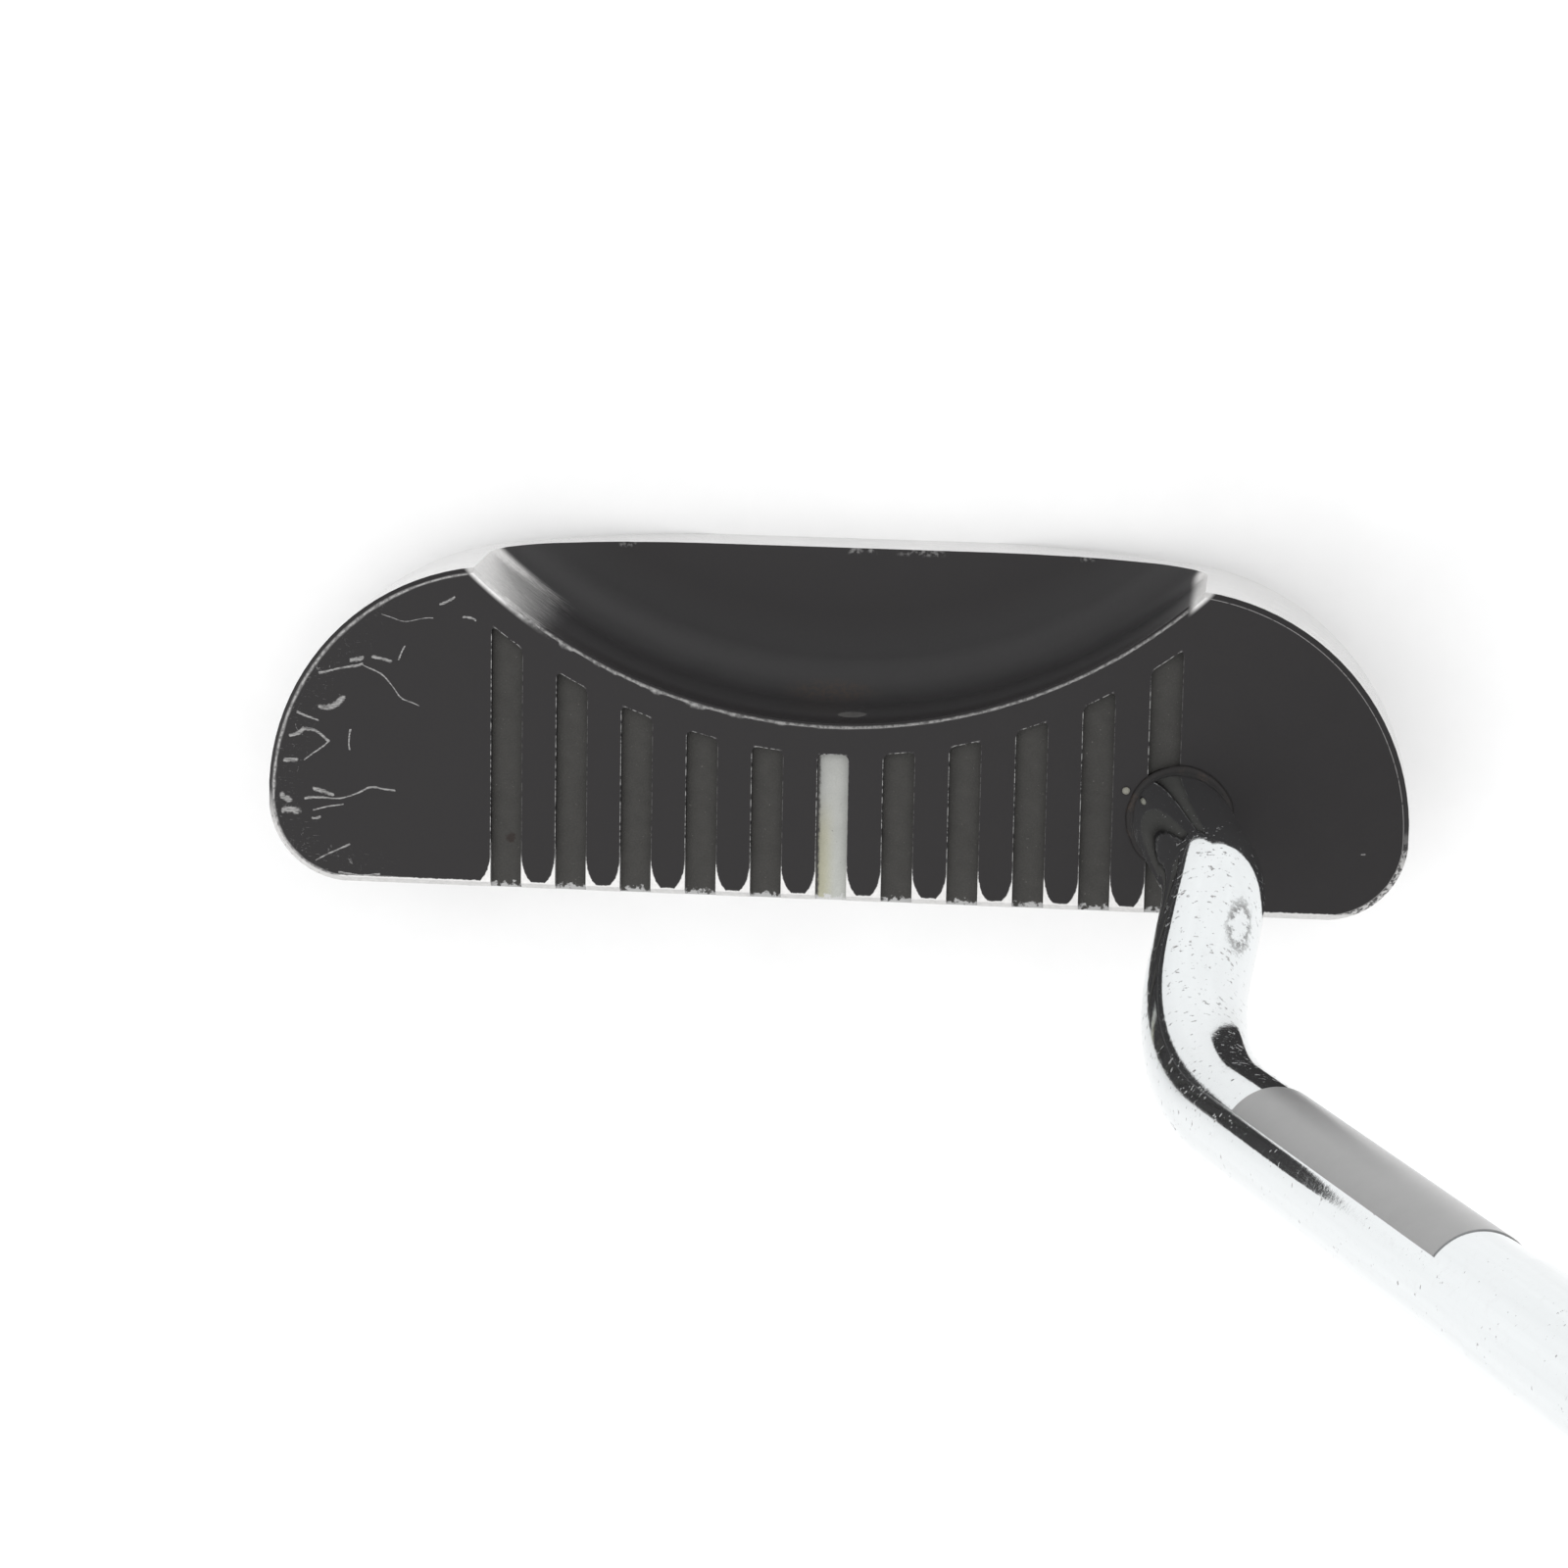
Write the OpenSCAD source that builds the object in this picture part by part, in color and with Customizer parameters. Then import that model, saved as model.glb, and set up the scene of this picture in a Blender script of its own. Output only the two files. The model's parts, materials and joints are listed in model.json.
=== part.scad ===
// Half-mallet blade putter, right-handed, standing at address.
// Frame: origin on the ground under the sight line at the middle of the head's depth,
// +X towards the heel, +Y away from the striking face, +Z up.

/* [Head] */
// Length of the head from toe to heel
head_len = 110.4; // [90:1:135]
// Depth of the head from the crown's front edge to its back edge
head_depth = 32.4; // [27:0.5:39]
// Height of the crown above the ground
head_height = 20; // [18:0.5:26]
// Distance from the crown's front edge back to the centres of the toe and heel lobes
lobe_set_back = 8.5; // [8.5:0.5:12]
// How far the middle of the back edge stands behind the lobes
back_bow = 0.8; // [0.4:0.1:2]
// Length of the straight part of the back edge
back_flat = 28.2; // [5:1:30]
// Radius of the two front corners
corner_r = 8; // [4:0.5:8]
// Face loft in degrees
loft = 3.5; // [0:0.5:6]
// Width of the polished bevel round the crown
rim_bevel = 0.5; // [0.3:0.1:1.5]
// Radius of the sole from heel to toe
sole_r = 125; // [115:5:300]
// How deep the flat pad is cut into the curved sole
sole_pad_cut = 0.8; // [0.4:0.1:1.5]

/* [Scoop] */
// Radius of the scoop behind the crown
scoop_r = 51; // [42:1:62]
// Depth of the crown in front of the scoop, on the sight line
scoop_land = 17.4; // [14:0.5:21]
// Thickness of the rear flange under the scoop
flange_t = 6; // [5.5:0.5:8]
// Radius where the scoop's wall meets its floor
scoop_fillet = 4; // [2:0.5:6]
// Bevel on the scoop's upper edge
scoop_bevel = 0.35; // [0.1:0.05:0.8]
// Diameter of the round plug in the scoop's wall
plug_d = 2.8; // [2:0.1:4]
// Length of the round plug
plug_len = 6; // [4:0.5:9]
// Depth of the plug's axis below the crown
plug_drop = 5.2; // [4:0.1:6]
// Distance of the plug's axis from the sight line towards the heel
plug_x = 1.3; // [0:0.1:3]

/* [Crown grooves] */
// Number of grooves, the middle one being the sight line
groove_count = 11; // [7:2:11]
// Distance between groove centres
groove_pitch = 6.35; // [5:0.05:7.62]
// Width of a groove
groove_w = 3; // [2:0.1:4]
// Depth of a groove
groove_depth = 1.6; // [1:0.1:2.4]
// Crown left between the grooves' closed ends and the scoop
groove_gap = 3; // [2:0.1:5]
// Thickness of the paint set in a groove
fill_t = 0.8; // [0.5:0.1:0.9]

/* [Shaft] */
// Diameter of the shaft's tip
tip_d = 9.4; // [8:0.1:11]
// Wall thickness of the tube
tube_t = 0.5; // [0.4:0.05:1.2]
// Distance of the bore's mouth from the sight line
bore_x = 33.4; // [30:0.2:36]
// Distance of the bore's mouth behind the crown's front edge
bore_back = 9.4; // [8:0.2:11]
// Depth of the bore along its axis
bore_depth = 13; // [10:0.5:13]
// Thickness of the glue round the tip
glue_t = 0.2; // [0.1:0.05:0.3]
// Lean of the tip leg towards the heel, in degrees
tip_lean_heel = 11; // [0:1:20]
// Lean of the tip leg towards the front, in degrees
tip_lean_front = 5; // [0:1:12]
// Length of the tip leg from the crown to the first bend
tip_leg = 21.3; // [18:0.5:26]
// Lean of the offset leg towards the toe, in degrees
offset_lean_toe = 6.5; // [0:0.5:12]
// Lean of the offset leg towards the front, in degrees
offset_lean_front = 26; // [12:1:32]
// Length of the offset leg between its two bends
offset_leg = 26.4; // [24:0.5:34]
// Radius of the first bend, to the tube's axis
lower_bend_r = 22; // [14:1:30]
// Radius of the second bend, to the tube's axis
upper_bend_r = 42; // [30:1:48]
// Lie, the angle between the upper shaft and the ground, in degrees
lie = 68; // [64:0.5:74]
// Length of the club along the shaft, from the ground to the butt
club_len = 889; // [780:1:1000]
// Parallel length above the second bend, before the first step
tip_parallel = 72; // [70:1:90]
// Number of steps in the shaft
step_count = 12; // [10:1:12]
// Length of one step
step_len = 38.1; // [25:0.1:38.1]
// Diameter of the butt
butt_d = 15.2; // [13:0.1:16]
// Distance from the second bend to the label
label_start = 22.5; // [18:0.5:26]
// Length of the label
label_len = 41.5; // [30:0.5:45]
// Thickness of the label
label_t = 0.12; // [0.08:0.01:0.3]
// How far the label wraps round the shaft, in degrees
label_wrap = 200; // [90:5:300]
// Direction of the label's visible edge round the shaft, in degrees from the heel side
label_edge = 142; // [90:2:180]

/* [Grip] */
// Length of the grip from its mouth to its cap
grip_len = 267; // [200:1:280]
// Diameter of the grip at its mouth
grip_mouth_d = 20; // [18.5:0.1:22]
// Diameter of the grip at the cap
grip_cap_d = 28; // [24:0.5:32]
// Distance of the grip's flat from the shaft's axis
grip_flat = 11; // [10:0.1:12]
// Thickness of the cap over the butt
grip_cap_t = 5; // [3:0.5:8]
// Diameter of the vent hole through the cap
vent_d = 3.8; // [3:0.1:5]
// Thickness of the double-sided tape under the grip
tape_t = 0.25; // [0.15:0.05:0.5]

/* [Hidden] */
$fn = 128;
eps = 1;
// The round ends stand this far past the flat sides and face, which then trim them.
trim = 0.03;
// The grip's mouth is bevelled this much.
mouth_bevel = 1;
// The grip swells to this much under its cap's radius, between these shares of its length.
swell_step = 1.5;
swell_from = 0.62;
swell_to = 0.85;
// The cap's edge is rounded by this share of its radius.
cap_round = 0.25;
join_lap = 0.3;
join_set = 0.2;
rim_lap = 2.5;
rim_lap_angle = 1.5;
face_y = -head_depth / 2;
back_y = head_depth / 2;
half_len = head_len / 2;

lobe_y = face_y + lobe_set_back;
lobe_r = head_depth - lobe_set_back - back_bow;
lobe_x = half_len - lobe_r + trim;
corner_x = half_len - corner_r + trim;
corner_y = face_y + corner_r - trim;
join_y = lobe_y - join_set;

// The back edge sweeps from its straight middle into the lobes on one large arc.
sweep_dx = lobe_x - back_flat / 2;
sweep_dy = lobe_r + back_bow;
sweep_lobe_r = lobe_r - trim;
sweep_r = (sweep_dx * sweep_dx + sweep_dy * sweep_dy - sweep_lobe_r * sweep_lobe_r)
    / (2 * (sweep_dy - sweep_lobe_r));
sweep_angle = atan2(sweep_dx, sweep_r - sweep_dy);
sweep_end = [back_flat / 2 + sweep_r * sin(sweep_angle), back_y - sweep_r * (1 - cos(sweep_angle))];

scoop_y = face_y + scoop_land + scoop_r;
groove_end_r = scoop_r + groove_gap;
fill_z = head_height - groove_depth;
sight_index = (groove_count - 1) / 2;
sole_axis_z = sole_r - sole_pad_cut;

function unit(v) = v / norm(v);
function lean(heel, back) = unit([tan(heel), tan(back), 1]);

tip_r = tip_d / 2;
butt_r = butt_d / 2;
bore_r = tip_r + glue_t;
tip_dir = lean(tip_lean_heel, -tip_lean_front);
offset_dir = lean(-offset_lean_toe, -offset_lean_front);
upper_dir = lean(90 - lie, 0);
bore_mouth = [bore_x, face_y + bore_back, head_height];
bore_end = bore_mouth - tip_dir * bore_depth;
tip_end = bore_end + tip_dir * glue_t;
lower_corner = bore_mouth + tip_dir * tip_leg;
upper_corner = lower_corner + offset_dir * offset_leg;
butt_end = upper_corner + upper_dir * (club_len - upper_corner[2] / upper_dir[2]);
upper_len = norm(butt_end - upper_corner);

lower_bend = acos(tip_dir * offset_dir);
upper_bend = acos(offset_dir * upper_dir);
lower_tangent = lower_bend_r * tan(lower_bend / 2);
upper_tangent = upper_bend_r * tan(upper_bend / 2);
steps_end = tip_parallel + step_count * step_len;
grip_start = upper_len - grip_len + grip_cap_t;
tape_r = butt_r + tape_t;
grip_lip_len = 12;
tape_len = grip_len - grip_cap_t - grip_lip_len;
glue_bead_r = tip_r + 0.5;
glue_bead_h = 0.4;
weld_lap = 0.3;
weld_rise = 0.01;

// ---- placing along a line -------------------------------------------------

// Stands its children at p with their z axis along dir and their x axis near side.
module aim(p, dir, side = [1, 0, 0]) {
    y = unit(cross(dir, side));
    x = cross(y, dir);
    multmatrix([
        [x[0], y[0], dir[0], p[0]],
        [x[1], y[1], dir[1], p[1]],
        [x[2], y[2], dir[2], p[2]],
        [0, 0, 0, 1]
    ]) children();
}

module both_ends() {
    children();
    mirror([1, 0, 0]) children();
}

// ---- head -----------------------------------------------------------------

// Plan of the lobes and the back edge, as one mirrored half.
module rear_half_plan() {
    translate([lobe_x, lobe_y]) circle(lobe_r);
    translate([0, face_y]) square([lobe_x, sweep_end[1] - face_y]);
    translate([0, lobe_y]) square([back_flat / 2, back_y - lobe_y]);
    intersection() {
        translate([back_flat / 2, back_y - sweep_r]) circle(sweep_r, $fn = 720);
        translate([back_flat / 2, lobe_y]) square([sweep_end[0] - back_flat / 2, back_y - lobe_y]);
    }
}

// Plan of the front bar, wider and further forward than the flats that trim it.
module front_half_plan() {
    translate([corner_x, corner_y]) circle(corner_r);
    translate([0, face_y - eps]) square([corner_x, join_y + join_lap - face_y + eps]);
    translate([0, corner_y]) square([half_len + eps, join_y + join_lap - corner_y]);
}

// Leans its children back by the loft, about the crown's front edge.
module leaning() {
    translate([0, face_y, head_height])
        rotate([-loft, 0, 0])
            translate([0, -face_y, -head_height])
                children();
}

// Everything in front of the leaning plane that meets the crown's level at y.
module ahead_of(y) {
    leaning()
        translate([-head_len, y - head_depth, -head_height])
            cube([head_len * 2, head_depth, head_height * 3]);
}

// The bar stands proud of the crown and the ground, so that both are cut level afterwards.
module front_bar() {
    leaning()
        translate([0, 0, -2 * eps])
            linear_extrude(head_height + 4 * eps)
                both_ends() front_half_plan();
}

// The upright part of the head, cut off along the lean where the front bar takes over.
module rear_block() {
    difference() {
        translate([0, 0, -eps])
            linear_extrude(head_height + 2 * eps)
                both_ends() rear_half_plan();
        ahead_of(join_y);
    }
}

// Cuts a 45 degree bevel on the top edge of an upright cylinder of radius r.
module rim_ring(r, from, to) {
    rotate([0, 0, from])
        rotate_extrude(angle = to - from)
            rim_profile(r);
}

module rim_profile(r) {
    polygon([
        [r - rim_bevel - eps, head_height + eps],
        [r + eps, head_height - rim_bevel - eps],
        [r + eps, head_height + eps]
    ]);
}

module rim_straight(from, to) {
    translate([from[0], from[1], 0])
        rotate([0, 0, atan2(to[1] - from[1], to[0] - from[0])])
            rotate([90, 0, 90])
                linear_extrude(norm(to - from))
                    mirror([1, 0])
                        rim_profile(0);
}

// The straight bevels run on past the rounds' ends, where the rounds fall away from them.
module rim_cut() {
    rim_straight([-corner_x - rim_lap, face_y], [corner_x + rim_lap, face_y]);
    both_ends() {
        translate([lobe_x, lobe_y, 0]) rim_ring(lobe_r, -rim_lap_angle, 90 - sweep_angle);
        translate([corner_x, corner_y, 0])
            rim_ring(corner_r, -90 - rim_lap_angle, rim_lap_angle);
        rim_straight([half_len, corner_y - rim_lap], [half_len, lobe_y + rim_lap]);
    }
}

module scoop_cut() {
    top = head_height + eps;
    translate([0, scoop_y, 0])
        rotate_extrude($fn = 360) {
            translate([0, flange_t]) square([scoop_r - scoop_fillet, top - flange_t]);
            translate([0, flange_t + scoop_fillet]) square([scoop_r, top - flange_t - scoop_fillet]);
            translate([scoop_r - scoop_fillet, flange_t + scoop_fillet]) circle(scoop_fillet);
            polygon([
                [0, top],
                [scoop_r + scoop_bevel + eps, top],
                [scoop_r - eps, head_height - scoop_bevel - eps],
                [0, head_height - scoop_bevel - eps]
            ]);
        }
}

// One groove's volume between two heights, open at the face and closed by the scoop's arc.
module groove_space(index, bottom, top) {
    difference() {
        translate([(index - sight_index) * groove_pitch - groove_w / 2, face_y - eps, bottom])
            cube([groove_w, scoop_land + scoop_r / 2, top - bottom]);
        translate([0, scoop_y, bottom - eps])
            cylinder(h = top - bottom + 2 * eps, r = groove_end_r, $fn = 360);
    }
}

module bore_cut() {
    aim(bore_end, tip_dir) cylinder(h = bore_depth * 2, r = bore_r);
}

module plug_space() {
    translate([plug_x, face_y + scoop_land, head_height - plug_drop])
        rotate([90, 0, 0])
            translate([0, 0, -eps])
                cylinder(h = plug_len + eps, d = plug_d);
}

// Everything above the curved sole and between the flat sides, with the pad cut level.
module sole_form() {
    intersection() {
        translate([0, 0, sole_axis_z])
            rotate([90, 0, 0])
                cylinder(h = head_depth * 2, r = sole_r, center = true, $fn = 720);
        translate([-half_len, -head_depth, 0])
            cube([head_len, head_depth * 2, head_height]);
    }
}

// The whole outer form of the head before anything is milled out of it.
module head_blank() {
    intersection() {
        union() {
            rear_block();
            difference() {
                front_bar();
                ahead_of(face_y);
            }
        }
        sole_form();
    }
}

module head_body() {
    color([0.20, 0.19, 0.20])
        difference() {
            head_blank();
            rim_cut();
            scoop_cut();
            for (i = [0 : groove_count - 1]) {
                groove_space(i, fill_z, head_height + eps);
            }
            plug_space();
            bore_cut();
        }
}

// Paint set in the bottom of one groove, flush with the face and cleared for the shaft.
module groove_fill(index) {
    difference() {
        groove_space(index, fill_z, fill_z + fill_t);
        ahead_of(face_y);
        bore_cut();
    }
}

// The grey fills are numbered from the toe, leaving out the sight line.
module grey_fill(number) {
    color([0.30, 0.29, 0.26])
        groove_fill(number <= sight_index ? number - 1 : number);
}

module sight_line_fill() {
    color([0.78, 0.77, 0.72]) groove_fill(sight_index);
}

module scoop_plug() {
    color([0.42, 0.42, 0.41])
        difference() {
            plug_space();
            translate([0, scoop_y, 0])
                cylinder(h = head_height, r = scoop_r, $fn = 360);
        }
}

// ---- shaft ----------------------------------------------------------------

module ring(outer, inner) {
    difference() {
        circle(outer);
        circle(inner);
    }
}

module tube(from, dir, len, outer) {
    aim(from, dir) linear_extrude(len) ring(outer, outer - tube_t);
}

// A straight leg of the tip's diameter between two bends or ends, with a hair-thin
// weld collar over each end that meets a bend.
module leg(from, dir, len, starts_at_bend, ends_at_bend) {
    trim_start = starts_at_bend ? weld_lap / 2 : 0;
    trim_end = ends_at_bend ? weld_lap / 2 : 0;
    tube(from + dir * trim_start, dir, len - trim_start - trim_end, tip_r);
    if (starts_at_bend) weld(from, dir);
    if (ends_at_bend) weld(from + dir * len, dir);
}

module weld(p, dir) {
    aim(p - dir * weld_lap, dir)
        linear_extrude(2 * weld_lap)
            ring(tip_r + weld_rise, tip_r - tube_t - weld_rise);
}

// A bend of the tip's diameter that turns from dir_in to dir_out at corner.
module tube_bend(corner, dir_in, dir_out, bend_r, angle, tangent) {
    inward = unit(dir_out - dir_in * (dir_in * dir_out));
    centre = corner - dir_in * tangent + inward * bend_r;
    aim(centre, cross(-inward, dir_in), -inward)
        rotate_extrude(angle = angle)
            translate([bend_r, 0])
                ring(tip_r, tip_r - tube_t);
}

// Each step laps a little way into the wider one above it.
module stepped_length() {
    for (i = [1 : step_count]) {
        tube(
            upper_corner + upper_dir * (tip_parallel + (i - 1) * step_len),
            upper_dir,
            step_len + weld_lap,
            tip_r + (butt_r - tip_r) * i / (step_count + 1)
        );
    }
}

module shaft() {
    lower_leg_len = norm(lower_corner - tip_end) - lower_tangent;
    offset_leg_len = offset_leg - lower_tangent - upper_tangent;
    color([0.86, 0.87, 0.88]) {
        leg(tip_end, tip_dir, lower_leg_len, false, true);
        tube_bend(lower_corner, tip_dir, offset_dir, lower_bend_r, lower_bend, lower_tangent);
        leg(lower_corner + offset_dir * lower_tangent, offset_dir, offset_leg_len, true, true);
        tube_bend(upper_corner, offset_dir, upper_dir, upper_bend_r, upper_bend, upper_tangent);
        leg(
            upper_corner + upper_dir * upper_tangent,
            upper_dir,
            tip_parallel - upper_tangent + weld_lap,
            true,
            false
        );
        stepped_length();
        tube(upper_corner + upper_dir * steps_end, upper_dir, upper_len - steps_end, butt_r);
    }
}

// Glue round and under the tip, with the bead that was squeezed out on the crown.
module shaft_glue() {
    color([0.36, 0.31, 0.22])
        difference() {
            union() {
                intersection() {
                    aim(bore_end, tip_dir) cylinder(h = bore_depth * 2, r = bore_r);
                    translate([0, face_y, 0]) cube([half_len, head_depth, head_height]);
                }
                intersection() {
                    aim(bore_end, tip_dir) cylinder(h = bore_depth * 2, r = glue_bead_r);
                    translate([0, face_y, head_height]) cube([half_len, head_depth, glue_bead_h]);
                }
            }
            aim(tip_end, tip_dir) cylinder(h = bore_depth * 2, r = tip_r);
            for (i = [0 : groove_count - 1]) {
                difference() {
                    groove_space(i, head_height - eps, head_height);
                    bore_cut();
                }
            }
        }
}

// A plain foil label that wraps part of the way round the shaft.
module shaft_label() {
    color([0.62, 0.62, 0.62])
        aim(upper_corner + upper_dir * label_start, upper_dir)
            rotate([0, 0, label_edge - label_wrap])
                rotate_extrude(angle = label_wrap)
                    translate([tip_r, 0])
                        square([label_t, label_len]);
}

// ---- grip -----------------------------------------------------------------

module grip_tape() {
    color([0.80, 0.76, 0.62])
        aim(upper_corner + upper_dir * (upper_len - tape_len), upper_dir)
            linear_extrude(tape_len)
                ring(tape_r, butt_r);
}

// The grip swells from its mouth to its cap and has one flat for the thumbs.
module grip() {
    mouth_r = grip_mouth_d / 2;
    cap_r = grip_cap_d / 2;
    swell_r = cap_r - swell_step;
    swell_start = grip_len * swell_from;
    swell_end = grip_len * swell_to;
    round_r = cap_r * cap_round;
    color([0.10, 0.10, 0.10])
        aim(upper_corner + upper_dir * grip_start, upper_dir)
            difference() {
                rotate_extrude() {
                    polygon([
                        [0, 0],
                        [mouth_r - mouth_bevel, 0],
                        [mouth_r, mouth_bevel],
                        [mouth_r, grip_lip_len],
                        [swell_r, swell_start],
                        [cap_r, swell_end],
                        [cap_r, grip_len - round_r],
                        [cap_r - round_r, grip_len],
                        [0, grip_len]
                    ]);
                    translate([cap_r - round_r, grip_len - round_r]) circle(round_r);
                }
                translate([-cap_r - grip_flat, -cap_r, -eps])
                    cube([cap_r, cap_r * 2, grip_len + 2 * eps]);
                translate([0, 0, -eps])
                    cylinder(h = grip_len - grip_cap_t - tape_len + eps, r = butt_r);
                translate([0, 0, grip_len - grip_cap_t - tape_len])
                    cylinder(h = tape_len, r = tape_r);
                cylinder(h = grip_len + eps, d = vent_d);
            }
}

head_body();
sight_line_fill();
for (i = [1 : groove_count - 1]) {
    grey_fill(i);
}
scoop_plug();
shaft();
shaft_glue();
shaft_label();
grip_tape();
grip();
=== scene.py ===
"""A blade putter: milled head with crown grooves, double-bend chrome shaft and swelling grip."""

import json
import math

import bpy
from bpy.props import FloatProperty, FloatVectorProperty, IntProperty, PointerProperty
from mathutils import Matrix, Vector, noise

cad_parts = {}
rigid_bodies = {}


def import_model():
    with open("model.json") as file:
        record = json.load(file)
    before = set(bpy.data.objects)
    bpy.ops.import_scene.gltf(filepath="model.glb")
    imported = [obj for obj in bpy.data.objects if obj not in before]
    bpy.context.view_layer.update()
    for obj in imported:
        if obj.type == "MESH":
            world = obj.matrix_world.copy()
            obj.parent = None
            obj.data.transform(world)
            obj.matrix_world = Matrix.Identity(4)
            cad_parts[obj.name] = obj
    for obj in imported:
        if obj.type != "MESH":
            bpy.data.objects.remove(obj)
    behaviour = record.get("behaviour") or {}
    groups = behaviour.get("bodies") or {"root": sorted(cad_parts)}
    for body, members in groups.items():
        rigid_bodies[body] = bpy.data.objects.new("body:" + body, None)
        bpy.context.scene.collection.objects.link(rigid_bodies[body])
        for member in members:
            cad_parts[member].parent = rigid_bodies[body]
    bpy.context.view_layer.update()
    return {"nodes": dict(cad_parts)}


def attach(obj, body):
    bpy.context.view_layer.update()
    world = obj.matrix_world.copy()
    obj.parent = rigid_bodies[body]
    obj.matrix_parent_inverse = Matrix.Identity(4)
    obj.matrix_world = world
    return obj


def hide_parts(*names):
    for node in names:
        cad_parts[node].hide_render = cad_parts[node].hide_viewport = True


bl_info = {
    "name": "Blade putter",
    "version": (1, 0, 0),
    "blender": (4, 5, 0),
    "location": "View3D > Sidebar > Putter",
    "description": "Finishes a blade putter around its packed frame",
    "category": "Object",
}

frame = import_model()

MM = 0.001
# Spin turns against the right-hand rule here. bend() checks where each bend ends.
SPIN_SIGN = -1
WELD = 1e-7

# ---- the putter's own sizes, in millimetres, as the frame has them ------------------------
HEAD_LEN, HEAD_DEPTH, HEAD_HEIGHT = 110.4, 32.4, 20.0
FACE_Y, BACK_Y, HALF_LEN = -HEAD_DEPTH / 2, HEAD_DEPTH / 2, HEAD_LEN / 2
LOBE_Y, LOBE_R = FACE_Y + 8.5, 23.1
LOBE_X = HALF_LEN - LOBE_R
CORNER_R = 8.0
CORNER_X, CORNER_Y = HALF_LEN - CORNER_R, FACE_Y + CORNER_R
SCOOP_R, SCOOP_Y = 51.0, FACE_Y + 17.4 + 51.0
FLANGE_T, RIM_BEVEL = 6.0, 0.5
GROOVE_PITCH, GROOVE_W, GROOVE_END_R, GROOVE_DEPTH = 6.35, 3.0, 54.0, 1.6
PAINT_FRONT_Y = FACE_Y + 0.62
TIP_R, TUBE_T, BUTT_R = 4.7, 0.5, 7.6
BORE_DEPTH, GLUE_T = 13.0, 0.2
LOWER_BEND_R, UPPER_BEND_R = 22.0, 42.0
TIP_LEG, OFFSET_LEG = 21.3, 26.4
TIP_PARALLEL, STEP_COUNT, STEP_LEN = 72.0, 12, 38.1
CLUB_LEN, GRIP_LEN, GRIP_CAP_T, GRIP_LIP = 889.0, 267.0, 5.0, 12.0


def lean(heel, back):
    return Vector((math.tan(math.radians(heel)), math.tan(math.radians(back)), 1)).normalized()


TIP_DIR, OFFSET_DIR, UPPER_DIR = lean(11, -5), lean(-6.5, -26), lean(22, 0)
BORE_MOUTH = Vector((33.4, FACE_Y + 9.4, HEAD_HEIGHT))
BORE_END = BORE_MOUTH - TIP_DIR * BORE_DEPTH
TIP_END = BORE_END + TIP_DIR * GLUE_T
LOWER_CORNER = BORE_MOUTH + TIP_DIR * TIP_LEG
UPPER_CORNER = LOWER_CORNER + OFFSET_DIR * OFFSET_LEG
BUTT_END = UPPER_CORNER + UPPER_DIR * (CLUB_LEN - UPPER_CORNER.z / UPPER_DIR.z)
UPPER_LEN = (BUTT_END - UPPER_CORNER).length
GRIP_START = UPPER_LEN - GRIP_LEN + GRIP_CAP_T

# Chips and scratches on the toe: start x, start y, end x, end y, width.
TOE_MARKS = (
    (-49.8, 4.2, -45.7, 5.2, 0.20), (-46.9, 5.6, -45.7, 5.8, 0.42), (-45.7, 5.1, -40.6, 2.0, 0.10),
    (-44.4, 5.8, -43.6, 5.6, 0.34), (-42.0, 7.5, -42.8, 5.9, 0.16), (-50.1, 1.4, -48.1, 2.0, 0.50),
    (-52.0, 0.3, -50.2, -0.4, 0.20), (-53.0, -1.4, -51.3, -1.2, 0.30), (-51.3, -1.2, -49.3, -2.0, 0.22),
    (-49.3, -2.0, -51.6, -4.5, 0.13), (-46.7, -1.1, -47.2, -3.1, 0.13), (-53.7, -4.7, -52.5, -4.4, 0.46),
    (-51.9, -8.0, -42.5, -6.8, 0.15), (-50.6, -7.2, -48.8, -7.2, 0.30), (-50.7, -8.9, -47.5, -8.3, 0.15),
    (-50.8, -9.9, -50.1, -9.8, 0.28), (-53.8, -9.1, -52.4, -9.4, 0.60), (-54.1, -7.6, -53.5, -8.1, 0.46),
    (-50.5, -14.2, -47.1, -12.6, 0.15), (-48.3, -15.4, -44.2, -15.3, 0.24), (-38.3, 11.9, -37.2, 12.2, 0.20),
    (-43.8, 10.2, -38.9, 10.1, 0.08), (-36.5, 10.3, -35.1, 9.9, 0.20), (50.8, -9.6, 51.0, -9.6, 0.16),
)
# Chips along the back edge of the flange: x and half width.
BACK_CHIPS = ((-22.0, 1.0), (1.2, 1.6), (7.0, 2.6), (23.3, 0.8))
SCOOP_SMEAR = (-1.4, 2.2, 0)
FILL_STAIN = (-31.4, -11.4, 0)
# Stray drops of glue on the crown: x, y and radius. The first one carries a painted pale highlight.
GLUE_DROPS = ((28.2, -4.2, 0.38), (29.2, -4.6, 0.18), (29.6, -5.2, 0.24))
# The glue's bead above the crown: how much each ring widens and rises.
BEAD_RINGS = ((1.07, 0.0), (1.005, 0.10), (0.99, 0.12), (0.965, 0.12), (0.962, 0.04))
STEP_RISE = 0.12
LABEL_GAP, LABEL_T = 0.012, 0.10
GRIP_MOUTH_R, GRIP_CAP_R, VENT_R = 10.0, 13.99, 1.9
GROOVE_COUNT = 11

# Where the camera stands, in metres, and which way its right and its top point.
CAMERA_AT = (0.0417455, 0.0909470, 0.4819797)
CAMERA_RIGHT, CAMERA_UP = Vector((0.994468, 0.017411, -0.103588)), Vector((-0.037894, 0.979224, -0.199211))
CAMERA_LENS, CAMERA_SENSOR = 112.994, 36.0
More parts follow.
